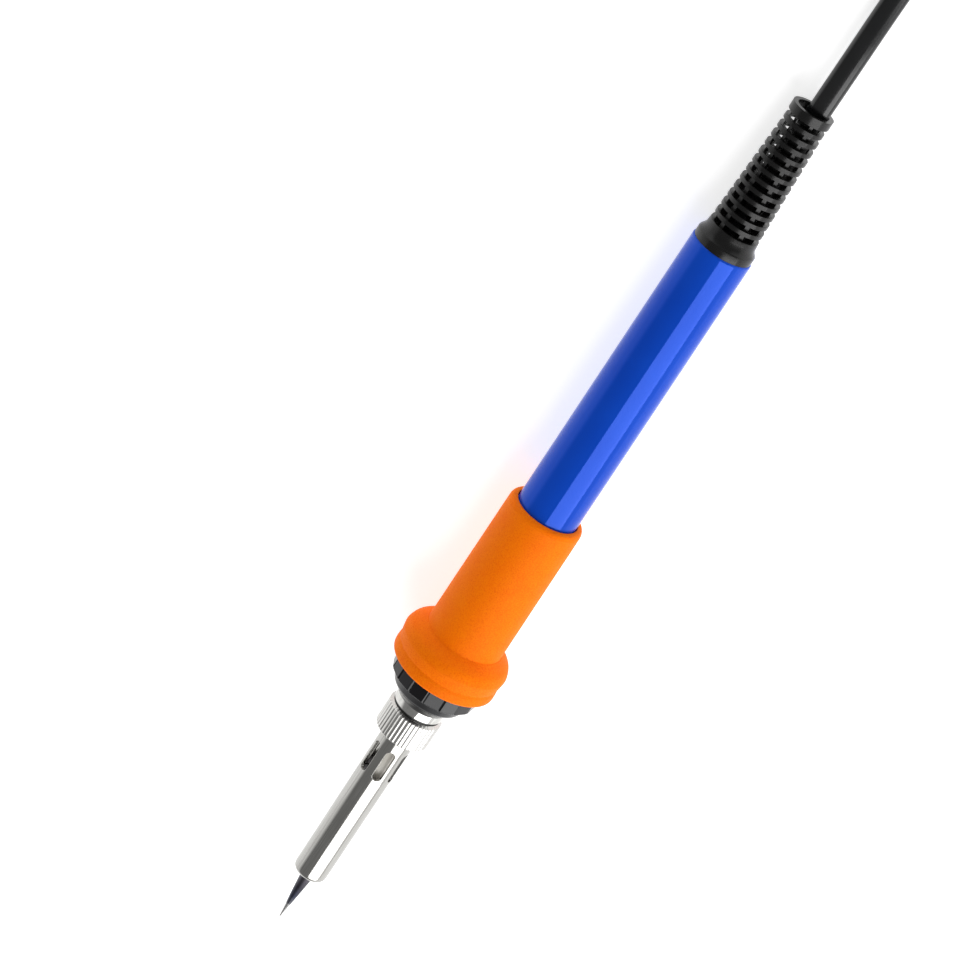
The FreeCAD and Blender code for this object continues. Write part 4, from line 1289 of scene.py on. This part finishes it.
def slot_loops():
    """One slot's outline and the sector that holds it, as matching (along, turn) points.

    along is in metres from the slot's middle, turn is an angle from it.
    """
    hole_half = SLOT_WIDTH / 2
    half_length = SLOT_LENGTH / 2 - hole_half
    half_turn = math.pi / SLOT_COUNT
    edge = SLOT_LENGTH / 2 + SLOT_MARGIN
    hole = []
    rim = []
    for side in (-1, 1):
        for step in range(SLOT_SIDE_STEPS):
            along = (2 * step / SLOT_SIDE_STEPS - 1) * -side
            hole.append((half_length * along, side * hole_half / BARREL_R))
            rim.append((edge * along, side * half_turn))
        for step in range(SLOT_END_STEPS):
            angle = math.pi * step / SLOT_END_STEPS
            hole.append((
                -side * (half_length + hole_half * math.sin(angle)),
                side * hole_half * math.cos(angle) / BARREL_R,
            ))
            rim.append((-side * edge, side * half_turn * (1 - 2 * step / SLOT_END_STEPS)))
    return hole, rim


def slotted_zone(middle):
    """The barrel's wall round its slots: outer and inner skin, and the slots' sides."""
    hole, rim = slot_loops()
    vertices = []
    faces = []
    for slot in range(SLOT_COUNT):
        turn = SLOT_ANGLE + slot * 2 * math.pi / SLOT_COUNT
        starts = []
        for r in (BARREL_R, BARREL_BORE_R):
            for share in SLOT_RINGS:
                starts.append(len(vertices))
                for (hole_x, hole_turn), (rim_x, rim_turn) in zip(hole, rim):
                    x = middle + hole_x + (rim_x - hole_x) * share
                    angle = turn + hole_turn + (rim_turn - hole_turn) * share
                    vertices.append(around(x, r, angle))
        outer = starts[:len(SLOT_RINGS)]
        inner = starts[len(SLOT_RINGS):]
        pairs = list(zip(outer, outer[1:])) + list(zip(inner, inner[1:])) + [(outer[0], inner[0])]
        for first, second in pairs:
            faces += ring_faces(first, second, len(hole))
    return vertices, faces


def barrel_part(points):
    """A stretch of the barrel with columns that meet the slotted zone's."""
    return turned_mesh(
        points, steps=SLOT_COUNT * SLOT_END_STEPS, closed=False,
        first_angle=SLOT_ANGLE - math.pi / SLOT_COUNT,
    )


def add_barrel():
    rear, front = span("tip_barrel")
    nut_front = span("barrel_nut")[1]
    flange_r = girth("tip_barrel")
    slot_middle = nut_front + SLOT_START + SLOT_LENGTH / 2
    zone_rear = slot_middle - SLOT_LENGTH / 2 - SLOT_MARGIN
    zone_front = slot_middle + SLOT_LENGTH / 2 + SLOT_MARGIN
    flange_front = rear + BARREL_FLANGE_LENGTH
    neck_rear = front - BARREL_NECK_LENGTH
    undercut_front = nut_front + BARREL_UNDERCUT_FRONT
    rear_part = [
        (zone_rear, BARREL_BORE_R), (rear, BARREL_BORE_R), (rear, flange_r - 0.15 * MM),
        (rear + 0.15 * MM, flange_r), (flange_front - 0.15 * MM, flange_r),
        (flange_front, flange_r - 0.15 * MM), (flange_front, BARREL_UNDERCUT_R),
        (undercut_front, BARREL_UNDERCUT_R), (undercut_front, BARREL_R), (zone_rear, BARREL_R),
    ]
    nose = []
    for step in range(9):
        angle = math.pi / 2 * step / 8
        nose.append((
            front - BARREL_NOSE_ROUND * (1 - math.sin(angle)),
            BARREL_R - BARREL_NOSE_ROUND * (1 - math.cos(angle)),
        ))
    middles = [
        (zone_front + (front - BARREL_NOSE_ROUND - zone_front) * share, BARREL_R)
        for share in (0.0, 0.02, 0.5, 0.97)
    ]
    front_part = middles + nose + [
        (front, BARREL_NECK_R + 0.12 * MM), (front - 0.12 * MM, BARREL_NECK_R),
        (neck_rear, BARREL_NECK_R), (neck_rear, BARREL_BORE_R), (zone_front, BARREL_BORE_R),
    ]
    mesh = joined([barrel_part(rear_part), slotted_zone(slot_middle), barrel_part(front_part)])
    barrel = new_piece(
        "slotted_barrel", *mesh, BARREL_STEEL, "barrel", "tip_barrel", ("tip_barrel",)
    )
    return soften(barrel, 0.1 * MM, steps=3)


def add_tip():
    rear, point = span("tip")
    barrel_front = span("tip_barrel")[1]
    shank_r = girth("tip")
    shank_front = rear + TIP_SHANK_LENGTH
    shoulder = shank_front + TIP_SHOULDER_LENGTH
    bore_front = rear + TIP_BORE_DEPTH
    outline = rounded([
        (bore_front, 0.0, 0), (bore_front, TIP_BORE_R, 0.3 * MM), (rear, TIP_BORE_R, 0.1 * MM),
        (rear, shank_r, 0.2 * MM), (shank_front, shank_r, 0.4 * MM),
        (shoulder, TIP_NOSE_R, 0.3 * MM), (barrel_front + 0.6 * MM, TIP_NOSE_R, 1.2 * MM),
        (point - 0.35 * MM, 0.16 * MM, 0.12 * MM), (point, 0.0, 0),
    ], 7)
    tip = new_piece(
        "pointed_tip", *turned_mesh(outline, steps=96, closed=False), TIP_METAL, "tip", "tip",
        ("tip",),
    )
    return even_shading(tip)


# ---- inside ----------------------------------------------------------------------------------

def dress_inner_nodes():
    """Materials for the CAD nodes that stay."""
    finishes = (
        (CERAMIC, ("heater_rod", "insulator_bush")),
        (NICKEL, ("heater_lead_left", "heater_lead_right")),
        (GLASS_BRAID, ("lead_sleeve_left", "lead_sleeve_right")),
        (LAMINATE, ("terminal_board",)),
        (BRASS, ("terminal_left", "terminal_right", "terminal_rivets")),
        (BROWN_CORE, ("core_brown",)),
        (BLUE_CORE, ("core_blue",)),
        (COPPER, ("core_strands",)),
        (JACKET, ("inner_cord",)),
        (ALUMINIUM, ("cord_ferrule",)),
    )
    for finish, nodes in finishes:
        for node in nodes:
            solid = frame["nodes"][node]
            if not solid.material_slots:
                solid.data.materials.append(finish)
            for place in solid.material_slots:
                place.material = finish


# ---- studio ------------------------------------------------------------------------------------
SOFTBOX_DISTANCE = 1.5
SOFTBOX_LEAN = math.radians(43.5)     # about the iron's axis, from above towards +Y
SOFTBOX_SPREAD = math.radians(53.0)   # that the softbox fills about the axis
SOFTBOX_LENGTH = 1.0
SOFTBOX_POWER = 20.0
WORLD_LOW = 1.2                       # brightness of the world at the horizon
WORLD_LOW_END = 0.28                  # the sky's height, as a sine, where that ends
WORLD_HIGH = 0.30                     # brightness of the world above
WORLD_HIGH_START = 0.5
FLOOR_SIZE = 6.0
FLOOR_GLOW = 0.62                     # own light, so that the floor stays white round the iron


def add_softbox():
    target = ORIGIN + ALONG * CAMERA_STATION
    direction = ALONG * math.sin(CAMERA_TILT) + (
        ACROSS * math.sin(SOFTBOX_LEAN) + ABOVE * math.cos(SOFTBOX_LEAN)
    ) * math.cos(CAMERA_TILT)
    data = bpy.data.lights.new("softbox", "AREA")
    data.shape = "RECTANGLE"
    data.size = SOFTBOX_LENGTH
    data.size_y = 2 * SOFTBOX_DISTANCE * math.tan(SOFTBOX_SPREAD / 2)
    data.energy = SOFTBOX_POWER
    light = bpy.data.objects.new("softbox", data)
    back = direction.normalized()
    across = back.cross(ALONG).normalized()
    along = across.cross(back)
    turn = Matrix((along, across, back)).transposed().to_4x4()
    light.matrix_world = Matrix.Translation(target + back * SOFTBOX_DISTANCE) @ turn
    bpy.context.scene.collection.objects.link(light)


def add_world():
    world = bpy.data.worlds.new("studio")
    bpy.context.scene.world = world
    world.use_nodes = True
    tree = world.node_tree
    background = tree.nodes["Background"]
    source = tree.nodes.new("ShaderNodeTexCoord")
    split = tree.nodes.new("ShaderNodeSeparateXYZ")
    ramp = tree.nodes.new("ShaderNodeValToRGB")
    low, high = ramp.color_ramp.elements
    low.position = WORLD_LOW_END
    low.color = (WORLD_LOW, WORLD_LOW, WORLD_LOW, 1)
    high.position = WORLD_HIGH_START
    high.color = (WORLD_HIGH, WORLD_HIGH, WORLD_HIGH, 1)
    tree.links.new(source.outputs["Generated"], split.inputs["Vector"])
    tree.links.new(split.outputs["Z"], ramp.inputs["Fac"])
    tree.links.new(ramp.outputs["Color"], background.inputs["Color"])


def add_floor():
    half = FLOOR_SIZE / 2
    mesh = bpy.data.meshes.new("floor")
    corners = [(-half, -half, 0), (half, -half, 0), (half, half, 0), (-half, half, 0)]
    mesh.from_pydata(corners, [], [(0, 1, 2, 3)])
    floor = bpy.data.objects.new("floor", mesh)
    mesh.materials.append(plain_finish(
        "pale_floor", colour(238, 238, 238), colour(242, 242, 242), 0.9, 4 * MM, 0.01 * MM,
        emission_color=(1.0, 1.0, 1.0, 1.0), emission_strength=FLOOR_GLOW,
    ))
    bpy.context.scene.collection.objects.link(floor)


# ---- the whole scene -----------------------------------------------------------------------------
bpy.context.scene.view_settings.view_transform = "Standard"
add_camera()
add_cord(add_plug() + add_ties())
add_relief_core()
add_strain_relief()
add_handle()
add_grip()
add_collar()
add_thread_sleeve()
add_nut()
add_barrel()
add_tip()
dress_inner_nodes()
add_softbox()
add_world()
add_floor()
